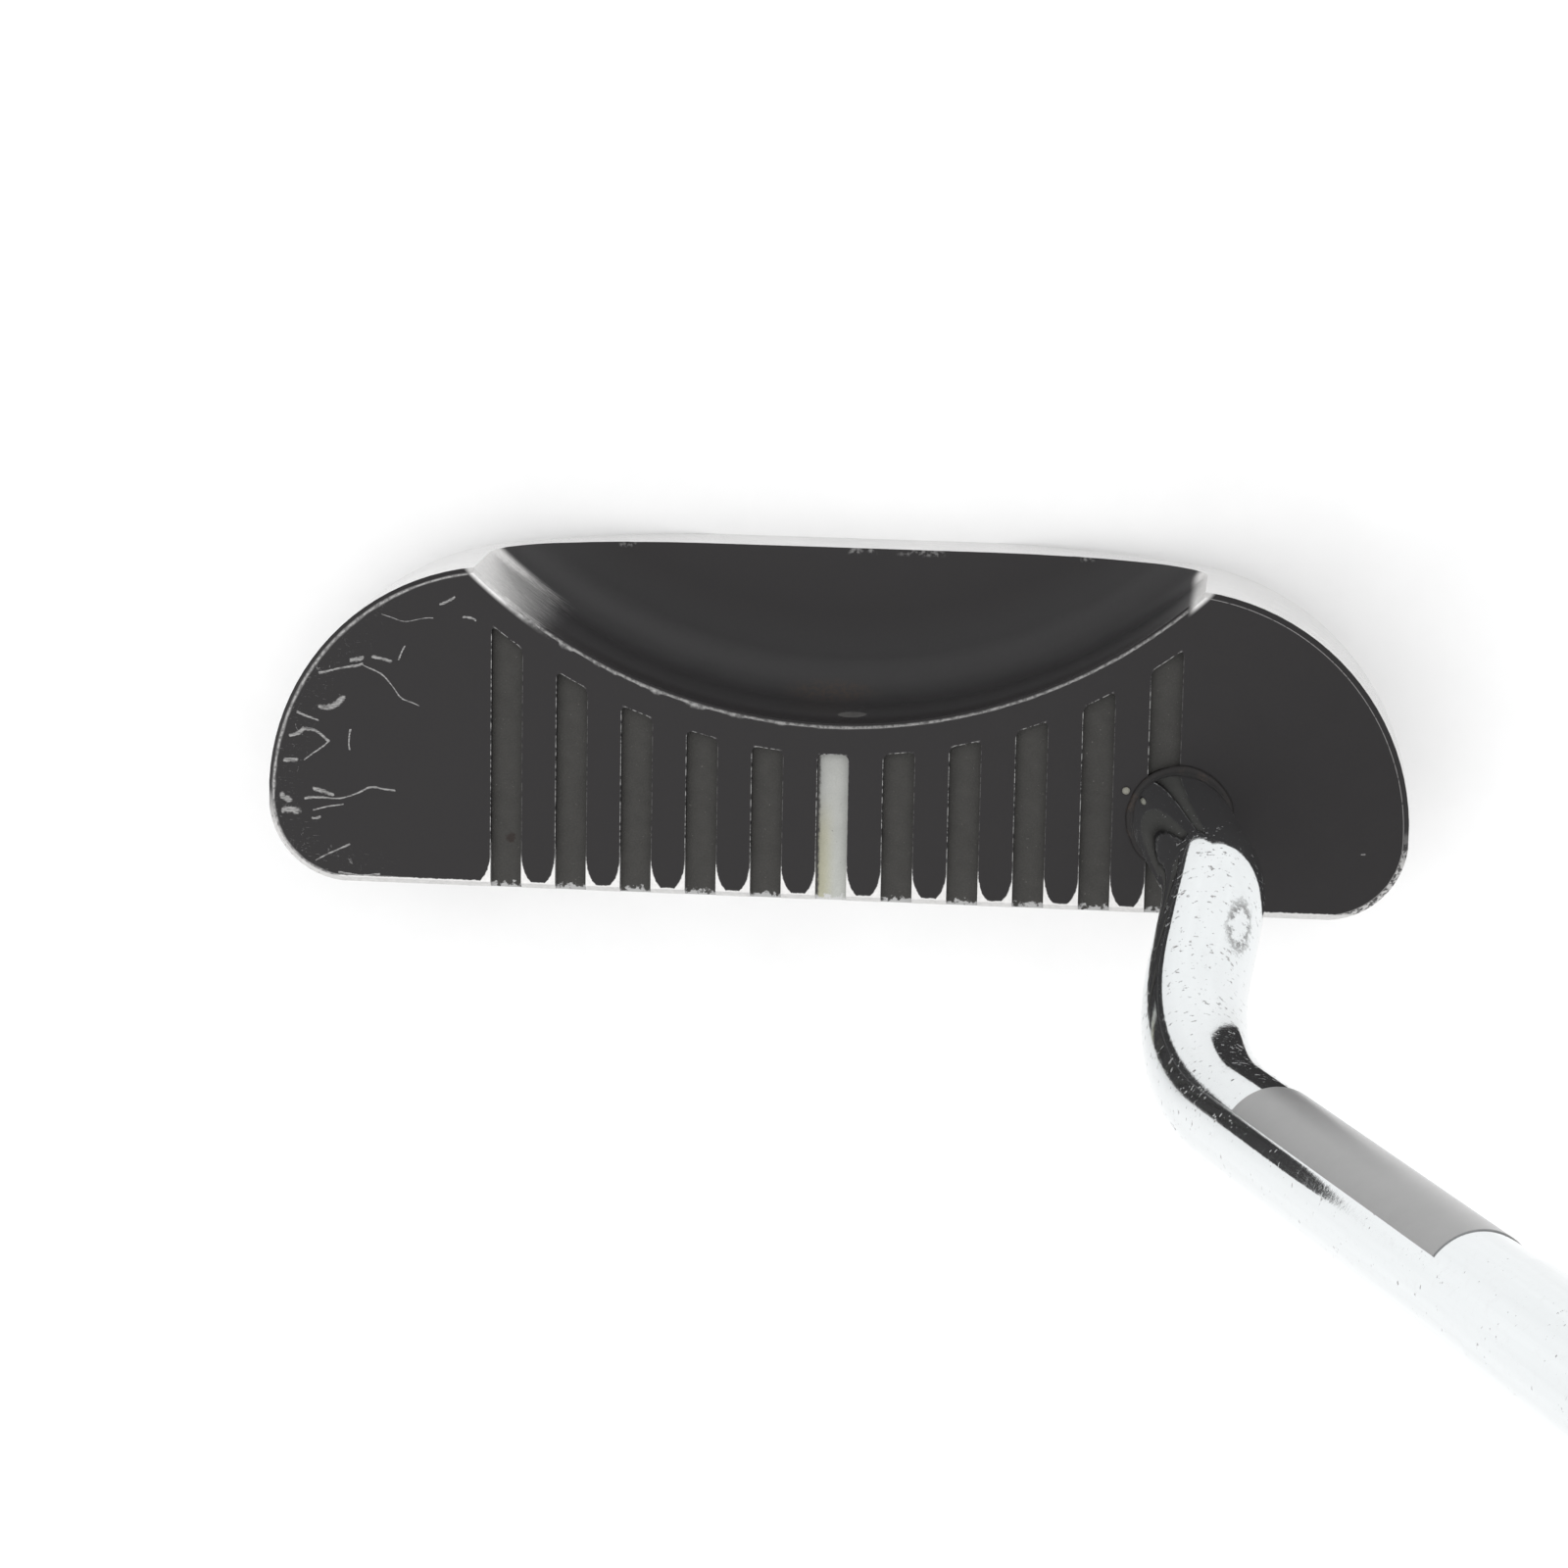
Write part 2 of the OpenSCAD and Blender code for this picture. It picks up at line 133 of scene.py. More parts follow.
# Soft lamps: name, place in metres, size and power.
LAMPS = (("key", (-0.9, -0.5, 1.5), 1.8, 6.0), ("fill", (1.1, 0.9, 1.4), 1.8, 5.0))


# ---- small tools for modelling ------------------------------------------------------------
def deselect():
    if bpy.context.object and bpy.context.object.mode != "OBJECT":
        bpy.ops.object.mode_set(mode="OBJECT")
    bpy.ops.object.select_all(action="DESELECT")


def activate(piece):
    deselect()
    piece.select_set(True)
    bpy.context.view_layer.objects.active = piece


def edit(piece, elements="VERT"):
    activate(piece)
    bpy.ops.object.mode_set(mode="EDIT")
    bpy.ops.mesh.select_mode(type=elements)
    bpy.ops.mesh.select_all(action="SELECT")


def leave_edit():
    bpy.ops.object.mode_set(mode="OBJECT")


def apply_place():
    """Moves the active piece's place, turn and scale into its mesh."""
    bpy.ops.object.transform_apply(location=True, rotation=True, scale=True)


def weld(threshold=WELD):
    """Merges doubles in edit mode and turns every face outwards."""
    bpy.ops.mesh.remove_doubles(threshold=threshold)
    bpy.ops.mesh.normals_make_consistent(inside=False)


def coat_node(name, finish):
    """Gives one carried-over node its finish."""
    for slot in frame["nodes"][name].material_slots:
        slot.material = finish


def apply_modifier(piece, kind, **settings):
    activate(piece)
    modifier = piece.modifiers.new(kind.title(), kind)
    for key, value in settings.items():
        setattr(modifier, key, value)
    bpy.ops.object.modifier_apply(modifier=modifier.name)


def place(piece, origin, direction):
    """Stands a piece modelled along z at origin, with its z axis along direction."""
    side = Vector((1, 0, 0))
    y = direction.cross(side).normalized()
    x = y.cross(direction)
    turn = Matrix((x, y, direction)).transposed().to_4x4()
    piece.matrix_world = Matrix.Translation(origin * MM) @ turn
    activate(piece)
    apply_place()


def finish_piece(piece, name, material, nodes, angle=35):
    """Names a piece, gives it its finish and hides the nodes it stands for."""
    edit(piece)
    weld()
    leave_edit()
    apply_place()
    bpy.ops.object.shade_smooth_by_angle(angle=math.radians(angle))
    piece.name = name
    piece.data.name = name
    if material:
        piece.data.materials.clear()
        piece.data.materials.append(material)
    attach(piece, "root")
    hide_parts(*nodes)
    return piece


def loop_up(direction, distance, factor=1.0, centre=None):
    """Extrudes the selected loop along direction and widens it about its new centre."""
    bpy.ops.mesh.extrude_region_move(TRANSFORM_OT_translate={"value": direction * distance * MM})
    if centre is not None and factor != 1.0:
        bpy.ops.transform.resize(value=(factor,) * 3, center_override=centre * MM)


def revolve(name, profile, segments):
    """Lathes a closed or open profile of (radius, height) points about z."""
    bpy.ops.mesh.primitive_circle_add(vertices=segments, radius=profile[0][0] * MM,
                                      location=(0, 0, profile[0][1] * MM))
    piece = bpy.context.active_object
    piece.name = name
    apply_place()
    edit(piece)
    up = Vector((0, 0, 1))
    for (r0, z0), (r1, z1) in zip(profile, profile[1:]):
        loop_up(up, z1 - z0, r1 / r0, Vector((0, 0, z1)))
    leave_edit()
    return piece


# ---- small tools for materials ------------------------------------------------------------
class Graph:
    """Puts nodes in one tree and joins them."""

    def __init__(self, tree):
        self.tree = tree

    def node(self, kind, **settings):
        made = self.tree.nodes.new(kind)
        for key, value in settings.items():
            setattr(made, key, value)
        return made

    def feed(self, socket, value):
        if isinstance(value, bpy.types.NodeSocket):
            self.tree.links.new(value, socket)
        elif value is not None:
            socket.default_value = value

    def math(self, operation, a, b=None, c=None, clamp=False):
        made = self.node("ShaderNodeMath", operation=operation, use_clamp=clamp)
        for socket, value in zip(made.inputs, (a, b, c)):
            self.feed(socket, value)
        return made.outputs[0]

    def vector(self, operation, a, b=None, scale=None):
        made = self.node("ShaderNodeVectorMath", operation=operation)
        self.feed(made.inputs[0], a)
        self.feed(made.inputs[1], b)
        if scale is not None:
            self.feed(made.inputs["Scale"], scale)
        return made.outputs["Value"] if operation in ("LENGTH", "DOT_PRODUCT") else made.outputs[0]

    def split(self, vector):
        made = self.node("ShaderNodeSeparateXYZ")
        self.feed(made.inputs[0], vector)
        return made.outputs

    def join(self, x, y, z):
        made = self.node("ShaderNodeCombineXYZ")
        for socket, value in zip(made.inputs, (x, y, z)):
            self.feed(socket, value)
        return made.outputs[0]

    def ramp(self, value, low, high, out_low=0.0, out_high=1.0):
        """A smooth step from low to high, which may run downwards."""
        made = self.node("ShaderNodeMapRange", interpolation_type="SMOOTHSTEP")
        for socket, number in zip(made.inputs, (value, low, high, out_low, out_high)):
            self.feed(socket, number)
        return made.outputs[0]

    def mix(self, factor, a, b):
        made = self.node("ShaderNodeMix", data_type="RGBA")
        self.feed(made.inputs[0], factor)
        self.feed(made.inputs[6], a)
        self.feed(made.inputs[7], b)
        return made.outputs[2]

    def blend(self, factor, a, b):
        made = self.node("ShaderNodeMix", data_type="FLOAT")
        for socket, value in zip(made.inputs[0:1] + made.inputs[2:4], (factor, a, b)):
            self.feed(socket, value)
        return made.outputs[0]

    def noise(self, vector, scale, detail=3.0, rough=0.55):
        made = self.node("ShaderNodeTexNoise")
        self.feed(made.inputs["Vector"], vector)
        self.feed(made.inputs["Scale"], scale)
        self.feed(made.inputs["Detail"], detail)
        self.feed(made.inputs["Roughness"], rough)
        return made.outputs["Fac"]

    def chain(self, operation, values):
        result = values[0]
        for value in values[1:]:
            result = self.math(operation, result, value)
        return result

    def most(self, *values):
        return self.chain("MAXIMUM", values)

    def times(self, *values):
        return self.chain("MULTIPLY", values)

    def plus(self, *values):
        return self.chain("ADD", values)

    def minus(self, a, b):
        return self.math("SUBTRACT", a, b)

    def absolute(self, value):
        return self.math("ABSOLUTE", value)

    def distance(self, a, b):
        return self.vector("LENGTH", self.vector("SUBTRACT", a, b))

    def group(self, tree, **inputs):
        made = self.node("ShaderNodeGroup", node_tree=tree)
        for key, value in inputs.items():
            self.feed(made.inputs[key.replace("_", " ")], value)
        return made.outputs

    def bump(self, height, strength, distance):
        made = self.node("ShaderNodeBump")
        self.feed(made.inputs["Height"], height)
        made.inputs["Strength"].default_value = strength
        made.inputs["Distance"].default_value = distance
        return made.outputs[0]


def new_group(name, inputs, outputs):
    tree = bpy.data.node_groups.new(name, "ShaderNodeTree")
    for label, kind in inputs:
        tree.interface.new_socket(label, in_out="INPUT", socket_type=kind)
    for label, kind in outputs:
        tree.interface.new_socket(label, in_out="OUTPUT", socket_type=kind)
    graph = Graph(tree)
    return tree, graph, graph.node("NodeGroupInput").outputs, graph.node("NodeGroupOutput").inputs


FLOAT, VECTOR = "NodeSocketFloat", "NodeSocketVector"


def group_once(name, build):
    return bpy.data.node_groups.get(name) or build(name)


def build_millimetres(name):
    tree, g, given, out = new_group(name, [("Position", VECTOR)], [("Vector", VECTOR)])
    g.feed(out[0], g.vector("SCALE", given[0], scale=1000.0))
    return tree


def build_grain(name):
    """Fine mottling of a surface, with a height for its bump."""
    tree, g, given, out = new_group(
        name, [("Vector", VECTOR), ("Scale", FLOAT), ("Amount", FLOAT)],
        [("Value", FLOAT), ("Height", FLOAT)])
    fine = g.noise(given[0], given[1], 5.0, 0.65)
    broad = g.noise(given[0], g.times(given[1], 0.12), 3.0, 0.5)
    both = g.plus(g.times(fine, 0.6), g.times(broad, 0.4))
    g.feed(out[0], g.plus(1.0, g.times(g.minus(both, 0.5), given[2])))
    g.feed(out[1], fine)
    return tree


def build_mark(name):
    """Adds one chip or scratch to the mask that a vector's third part carries."""
    tree, g, given, out = new_group(
        name, [("Vector", VECTOR), ("Start", VECTOR), ("End", VECTOR), ("Width", FLOAT), ("Fray", FLOAT)],
        [("Vector", VECTOR)])
    x, y, before = g.split(given[0])
    from_start = g.vector("SUBTRACT", given[0], given[1])
    along = g.vector("SUBTRACT", given[2], given[1])
    share = g.math("DIVIDE", g.vector("DOT_PRODUCT", from_start, along),
                   g.vector("DOT_PRODUCT", along, along), clamp=True)
    away = g.vector("SUBTRACT", from_start, g.vector("SCALE", along, scale=share))
    away = g.vector("LENGTH", g.vector("MULTIPLY", away, (1, 1, 0)))
    rough = g.plus(away, g.times(g.minus(given[4], 0.45), given[3]))
    mask = g.ramp(g.math("DIVIDE", rough, given[3]), 0.62, 0.30)
    g.feed(out[0], g.join(x, y, g.most(before, mask)))
    return tree


def build_edges(name):
    """Distances over the crown, in millimetres, from its rim, scoop, face and grooves."""
    tree, g, given, out = new_group(
        name, [("Vector", VECTOR)],
        [("Rim", FLOAT), ("Scoop", FLOAT), ("Front", FLOAT), ("Groove", FLOAT), ("Side", FLOAT)])
    x, y, _ = g.split(given[0])
    across = g.absolute(x)

    def round_end(centre_x, toward, radius):
        past_x = g.most(g.minus(across, centre_x), 0.0)
        past_y = g.most(toward, 0.0)
        reach = g.vector("LENGTH", g.join(past_x, past_y, 0.0))
        return g.minus(radius, reach)

    lobe = round_end(LOBE_X, g.minus(y, LOBE_Y), LOBE_R)
    corner = round_end(CORNER_X, g.minus(CORNER_Y, y), CORNER_R)
    g.feed(out[0], g.math("MINIMUM", lobe, corner))
    from_scoop = g.vector("LENGTH", g.join(x, g.minus(y, SCOOP_Y), 0.0))
    g.feed(out[1], g.minus(from_scoop, SCOOP_R))
    g.feed(out[2], g.minus(y, PAINT_FRONT_Y))
    wrapped = g.math("WRAP", x, GROOVE_PITCH / 2, -GROOVE_PITCH / 2)
    beyond = g.most(g.minus(across, GROOVE_PITCH * GROOVE_COUNT / 2), 0.0)
    beside = g.minus(g.absolute(wrapped), GROOVE_W / 2)
    g.feed(out[3], g.plus(beside, g.times(beyond, 40.0)))
    g.feed(out[4], wrapped)
    return tree


def build_brushing(name):
    """Fine parallel lines that run across one direction."""
    tree, g, given, out = new_group(
        name, [("Vector", VECTOR), ("Stretch", VECTOR)], [("Lines", FLOAT), ("Height", FLOAT)])
    stretched = g.vector("MULTIPLY", given[0], given[1])
    fine = g.noise(stretched, 1.0, 4.0, 0.7)
    g.feed(out[0], g.ramp(fine, 0.3, 0.7))
    g.feed(out[1], fine)
    return tree


def build_pits(name):
    """Small dark corrosion pits, denser where Density is higher."""
    tree, g, given, out = new_group(
        name, [("Vector", VECTOR), ("Density", FLOAT)], [("Mask", FLOAT)])
    specks = g.noise(given[0], 1.5, 3.0, 0.6)
    patches = g.noise(given[0], 0.30, 2.0, 0.5)
    level = g.plus(specks, g.times(patches, 0.30))
    level = g.plus(level, g.times(given[1], 0.04))
    g.feed(out[0], g.ramp(level, 0.83, 0.90))
    return tree


def start_material(name):
    material = bpy.data.materials.new(name)
    material.use_nodes = True
    tree = material.node_tree
    g = Graph(tree)
    shader = next(n for n in tree.nodes if n.type == "BSDF_PRINCIPLED")
    place_node = g.node("ShaderNodeTexCoord")
    units = g.group(group_once("Millimetres", build_millimetres), Position=place_node.outputs["Object"])[0]
    return material, g, shader.inputs, units


def grey(value, warm=0.0):
    return (value * (1 + warm), value, value * (1 - warm), 1.0)


def opaque(colour, share=1.0):
    return tuple(part * share for part in colour[:3]) + (1.0,)


# ---- the putter's finishes ----------------------------------------------------------------
def black_paint(settings):
    """Black paint over steel, worn through at edges, corners and chips."""
    material, g, shader, units = start_material("Black head paint")
    x, y, z = g.split(units)
    plan = g.join(x, y, 0.0)
    rim, scoop, front, groove, side = g.group(group_once("Crown edges", build_edges), Vector=units)[0:5]
    fray = g.noise(units, 2.2, 4.0, 0.6)
    coarse = g.noise(units, 0.55, 3.0, 0.5)
    on_crown = g.ramp(z, HEAD_HEIGHT - 0.10, HEAD_HEIGHT - 0.04)
    above_fill = g.ramp(z, HEAD_HEIGHT - RIM_BEVEL - 0.3, HEAD_HEIGHT - RIM_BEVEL)

    # The bare band along the face, with concave bare corners beside each groove.
    reach = g.most(front, 0.0)
    corner_width = g.times(0.95, g.math("EXPONENT", g.times(reach, -1.15)))
    spike = g.times(g.ramp(reach, 3.6, 0.0), 0.13)
    corner_width = g.plus(corner_width, g.minus(spike, 0.05))
    ragged = g.times(g.minus(fray, 0.5), 0.30)
    corners = g.ramp(g.plus(g.minus(groove, corner_width), ragged), 0.06, -0.06)
    corners = g.times(corners, g.ramp(reach, 5.0, 3.6))
    band = g.ramp(g.plus(front, ragged), 0.08, -0.05)
    front_bare = g.times(g.most(band, corners), above_fill)

    # The rim's worn line, wider and more broken towards the toe.
    toe = g.ramp(x, -20.0, -50.0)
    line_width = g.plus(0.05, g.times(toe, g.times(coarse, 0.42)))
    from_line = g.absolute(g.minus(rim, RIM_BEVEL + 0.02))
    rim_line = g.ramp(g.plus(from_line, g.times(ragged, 0.6)), line_width, 0.0)
    rim_line = g.times(rim_line, g.ramp(z, HEAD_HEIGHT - 0.2, HEAD_HEIGHT - 0.1))
    rim_line = g.times(rim_line, g.ramp(fray, 0.36, 0.62, 0.22, 0.60))
    rear_corner = g.plus(y, g.times(coarse, 3.0))
    bevel_bare = g.times(g.ramp(rear_corner, -5.5, -9.5), g.ramp(rim, 0.55, 0.42))
    worn = g.ramp(fray, 0.30, 0.42, 0.35, 1.0)
    flecked = g.ramp(fray, 0.44, 0.54, 0.08, 0.80)
    bevel_bare = g.times(bevel_bare, g.blend(g.ramp(x, 0.0, 20.0), worn, flecked))

    # The scoop's edge, chipped most between its toe end and its middle.
    chip_depth = g.times(g.ramp(coarse, 0.42, 0.75), g.ramp(x, 6.0, -18.0, 0.05, 0.55))
    edge_line = g.ramp(g.plus(scoop, ragged), g.plus(0.46, chip_depth), 0.36)
    edge_line = g.times(edge_line, g.ramp(scoop, 0.12, 0.30))
    scoop_edge = g.times(edge_line, g.ramp(z, HEAD_HEIGHT - 0.8, HEAD_HEIGHT - 0.4))
    scoop_edge = g.times(scoop_edge, g.ramp(fray, 0.36, 0.62, 0.16, 0.46))

    # Bare brushed metal at the toe end of the scoop's wall, and a thin tip at the heel.
    on_wall = g.times(g.ramp(g.absolute(scoop), 0.9, 0.4), g.ramp(z, FLANGE_T + 0.6, FLANGE_T + 2.5))
    brushing = g.group(group_once("Brushing", build_brushing), Vector=units, Stretch=(0.5, 0.5, 7.0))
    toe_tip = g.ramp(g.plus(x, g.times(brushing[0], 2.2)), -26.0, -33.0)
    heel_tip = g.ramp(x, 33.4, 34.4)
    wall_bare = g.times(on_wall, g.most(toe_tip, heel_tip))

    # Thin bare lines along the grooves, partly edge wear and partly painted edge highlights, stronger on
    # their toe sides, and across their closed ends.
    beside = g.ramp(g.absolute(groove), 0.10, 0.03)
    edge_wear_and_highlight = g.times(g.times(beside, on_crown), g.ramp(side, 0.4, -0.4, 0.10, 0.48))
    edge_wear_and_highlight = g.times(edge_wear_and_highlight, g.ramp(fray, 0.40, 0.60))
    groove_end = g.minus(scoop, GROOVE_END_R - SCOOP_R)
    edge_wear_and_highlight = g.times(edge_wear_and_highlight, g.ramp(groove_end, 0.35, 0.65))
    end_wear_and_highlight = g.times(g.ramp(g.absolute(groove_end), 0.12, 0.04), g.ramp(groove, 0.0, -0.5))
    end_wear_and_highlight = g.times(g.times(end_wear_and_highlight, on_crown), g.ramp(fray, 0.40, 0.60, 0.0, 0.4))

    # Chips and scratches on the toe, and along the flange's back edge.
    mark_tree = group_once("Toe mark", build_mark)
    wander_x = g.times(g.minus(g.noise(units, 0.42, 0.0, 0.5), 0.5), 1.4)
    wander_y = g.times(g.minus(g.noise(units, 0.30, 0.0, 0.5), 0.5), 1.8)
    marks = g.vector("ADD", plan, g.join(wander_x, wander_y, 0.0))
    for x0, y0, x1, y1, width in TOE_MARKS:
        marks = g.group(mark_tree, Vector=marks, Start=(x0, y0, 0), End=(x1, y1, 0),
                        Width=width * 1.25, Fray=fray)[0]
    marks = g.split(marks)[2]
    streaks = g.noise(g.vector("MULTIPLY", plan, (1.2, 9.0, 1.0)), 1.0, 4.0, 0.65)
    marks = g.times(g.times(marks, on_crown), g.ramp(streaks, 0.36, 0.62, 0.14, 0.50))
    near_rim = g.ramp(rim, 4.5, 1.2)
    scuffs = g.times(g.times(near_rim, g.ramp(x, -40.0, -51.0)), on_crown)
    warped = g.vector("ADD", plan, g.vector("SCALE", g.join(coarse, fray, 0.0), scale=4.0))
    crossing = g.noise(g.vector("MULTIPLY", warped, (3.0, 0.8, 1.0)), 1.0, 4.0, 0.65)
    scuffs = g.times(scuffs, g.ramp(g.most(streaks, crossing), 0.62, 0.72, 0.0, 0.30))
    back = 0.0
    for chip_x, half in BACK_CHIPS:
        near = g.ramp(g.absolute(g.minus(x, chip_x)), half, half * 0.6)
        back = g.most(back, near)
    back = g.times(back, g.ramp(g.plus(y, ragged), BACK_Y - 0.75, BACK_Y - 0.35))
    back = g.times(back, g.ramp(fray, 0.42, 0.60, 0.0, 0.22))
    back = g.times(back, g.ramp(z, FLANGE_T + 2.0, FLANGE_T + 1.0))

    bare = g.most(front_bare, rim_line, bevel_bare, scoop_edge, wall_bare,
                  edge_wear_and_highlight, end_wear_and_highlight, marks, scuffs, back)
    grain = grain_of(g, units, 3.0, 0.35)
    smear = g.vector("MULTIPLY", g.vector("SUBTRACT", plan, SCOOP_SMEAR), (0.25, 1.2, 1))
    smear = g.vector("LENGTH", smear)
    rust = g.times(g.ramp(smear, 1.5, 0.3), g.ramp(fray, 0.35, 0.65, 0.0, 0.55))
    rust = g.times(rust, g.ramp(z, HEAD_HEIGHT - 2.0, HEAD_HEIGHT - 6.0))
    # Painted light: the paint below the crown is a tenth lighter, and the lower scoop wall and the floor
    # beside its foot are lighter still, to offset the shade there.
    tone = g.mix(g.ramp(z, HEAD_HEIGHT - 1.7, HEAD_HEIGHT - 0.3),
                 opaque(settings.paint, 1.1), opaque(settings.paint))
    corner = g.times(g.ramp(scoop, -9.0, -3.0), g.ramp(z, HEAD_HEIGHT - 2.0, HEAD_HEIGHT - 5.0))
    tone = g.mix(corner, tone, (0.034, 0.033, 0.034, 1.0))
    tone = g.vector("SCALE", tone, scale=grain[0])
    tone = g.mix(rust, tone, (0.062, 0.044, 0.034, 1.0))
    metal = g.mix(fray, grey(0.52, 0.01), grey(0.80, 0.01))
    g.feed(shader["Base Color"], g.mix(bare, tone, metal))
    g.feed(shader["Metallic"], g.times(bare, 0.85))
    g.feed(shader["Roughness"], g.blend(bare, g.times(grain[0], 0.40), 0.38))
    shader["Specular IOR Level"].default_value = 0.24
    step = g.minus(g.times(grain[1], 0.22), g.times(bare, 0.6))
    step = g.plus(step, g.times(g.times(brushing[1], wall_bare), 0.8))
    g.feed(shader["Normal"], g.bump(step, 0.35, 0.00005))
    return material


def polished_steel(settings):
    """Satin-polished steel of the head's outside, with fine lines along it."""
    material, g, shader, units = start_material("Polished head steel")
    brushing = g.group(group_once("Brushing", build_brushing), Vector=units, Stretch=(0.25, 0.25, 6.0))
    grain = grain_of(g, units, 1.2, 0.25)
    nicks = g.ramp(g.noise(g.vector("MULTIPLY", units, (0.8, 0.8, 5.0)), 1.0, 5.0, 0.75), 0.66, 0.72)
    tone = g.mix(brushing[0], grey(0.66, 0.004), grey(0.84, 0.004))
    tone = g.mix(g.times(nicks, 0.35), tone, grey(0.36, 0.01))
    g.feed(shader["Base Color"], g.vector("SCALE", tone, scale=grain[0]))
    shader["Metallic"].default_value = 1.0
    g.feed(shader["Roughness"], g.times(g.ramp(brushing[1], 0.2, 0.8, 0.8, 1.2), settings.roughness))
    height = g.minus(brushing[1], g.times(nicks, 0.4))
    g.feed(shader["Normal"], g.bump(height, 0.25, 0.00003))
    return material


def groove_enamel(settings, white):
    """Enamel in a groove's floor. The white one is darker along its toe side and has a yellow stain."""
    material, g, shader, units = start_material("White enamel" if white else "Grey enamel")
    x, y, z = g.split(units)
    grain = grain_of(g, units, 6.0, 0.95 if not white else 0.5)
    specks = g.ramp(g.noise(units, 4.5, 2.0, 0.5), 0.72, 0.76)
    fray = g.noise(units, 2.2, 4.0, 0.6)
    notch = g.ramp(g.plus(y, g.times(g.minus(fray, 0.5), 2.2)), -15.75, -16.05)
    if white:
        edge = g.plus(x, g.times(g.minus(fray, 0.5), 0.5))
        # The white fill is darker along its toe side, next to the groove's wall.
        toe_side_dark = g.ramp(edge, -1.12, -1.42)
        stain = g.times(g.ramp(edge, 0.5, -0.9), g.ramp(y, -5.0, -10.0))
        tone = g.mix(g.times(stain, 0.55), opaque(settings.white), (0.40, 0.38, 0.22, 1.0))
        tone = g.mix(g.ramp(y, -16.0, -3.0, 0.0, 0.35), tone, grey(0.32, 0.01))
        tone = g.mix(toe_side_dark, tone, grey(0.075, 0.03))
        tone = g.mix(g.times(specks, 0.5), tone, grey(0.10, 0.05))
    else:
        wide = g.noise(units, 0.25, 2.0, 0.5)
        tone = g.mix(wide, opaque(settings.grey, 0.8), opaque(settings.grey))
        tone = g.mix(g.times(specks, 0.35), tone, grey(0.20, 0.06))
        spot = g.distance(g.join(x, y, 0.0), FILL_STAIN)
        tone = g.mix(g.ramp(g.plus(spot, fray), 1.15, 0.75, 0.0, 0.8), tone, (0.022, 0.014, 0.012, 1.0))
        notch = g.times(notch, 0.7)
    tone = g.vector("SCALE", tone, scale=grain[0])
    g.feed(shader["Base Color"], g.mix(notch, tone, grey(0.55, 0.0)))
    g.feed(shader["Roughness"], g.ramp(grain[1], 0.2, 0.8, 0.62, 0.5))
    shader["Specular IOR Level"].default_value = 0.25
    g.feed(shader["Normal"], g.bump(grain[1], 0.35, 0.00008))
    return material


def chrome_plate(settings):
    """Bright chrome with pits and rust near the head and a few dull marks higher up."""
    material, g, shader, units = start_material("Chrome plate")
    _, y, z = g.split(units)
    low = g.times(g.ramp(z, 95.0, 72.0), g.ramp(z, 38.0, 44.0))
    foot = g.times(g.ramp(z, HEAD_HEIGHT + 15.0, HEAD_HEIGHT + 3.0), g.ramp(y, -6.0, -10.0))
    fray = g.noise(units, 1.3, 4.0, 0.65)
    flattened = g.vector("MULTIPLY", units, (1, 1, 1.5))
    pits = g.group(group_once("Pits", build_pits), Vector=flattened, Density=low)[0]
    rings = g.noise(g.vector("MULTIPLY", units, (0.6, 0.6, 3.2)), 1.0, 4.0, 0.7)
    rust = g.times(foot, g.ramp(rings, 0.50, 0.68, 0.0, 0.75))
    haze = g.ramp(fray, 0.50, 0.80, 0.0, 0.25)
    from_dent = g.vector("SUBTRACT", units, tuple(settings.dent_at))
    along = g.vector("DOT_PRODUCT", from_dent, tuple(OFFSET_DIR))
    shorter = g.vector("SCALE", tuple(OFFSET_DIR), scale=g.times(along, 0.62))
    dent = g.vector("LENGTH", g.vector("SUBTRACT", from_dent, shorter))
    dent = g.plus(dent, g.times(g.minus(fray, 0.5), 2.2))
    dent_rim = g.times(g.ramp(dent, 0.75, 1.05), g.ramp(dent, 1.55, 1.15))
    tone = g.mix(haze, (0.775, 0.800, 0.808, 1.0), grey(0.66, 0.0))
    tone = g.mix(g.times(dent_rim, g.ramp(fray, 0.35, 0.60, 0.25, 0.85)), tone, grey(0.17, 0.01))
    tone = g.mix(g.times(pits, 0.85), tone, (0.30, 0.29, 0.285, 1.0))
    tone = g.mix(rust, tone, (0.085, 0.058, 0.045, 1.0))
    worn = g.most(rust, pits)
    g.feed(shader["Base Color"], tone)
    g.feed(shader["Metallic"], g.minus(1.0, g.times(rust, 0.7)))
    g.feed(shader["Roughness"], g.plus(g.plus(0.05, g.times(haze, 0.35)), g.times(worn, 0.30)))
    height = g.minus(g.times(fray, 0.2), g.times(worn, 0.8))
    height = g.minus(height, g.ramp(dent, 1.8, 0.2, 0.0, 7.0))
    g.feed(shader["Normal"], g.bump(height, 0.30, 0.00008))
    return material


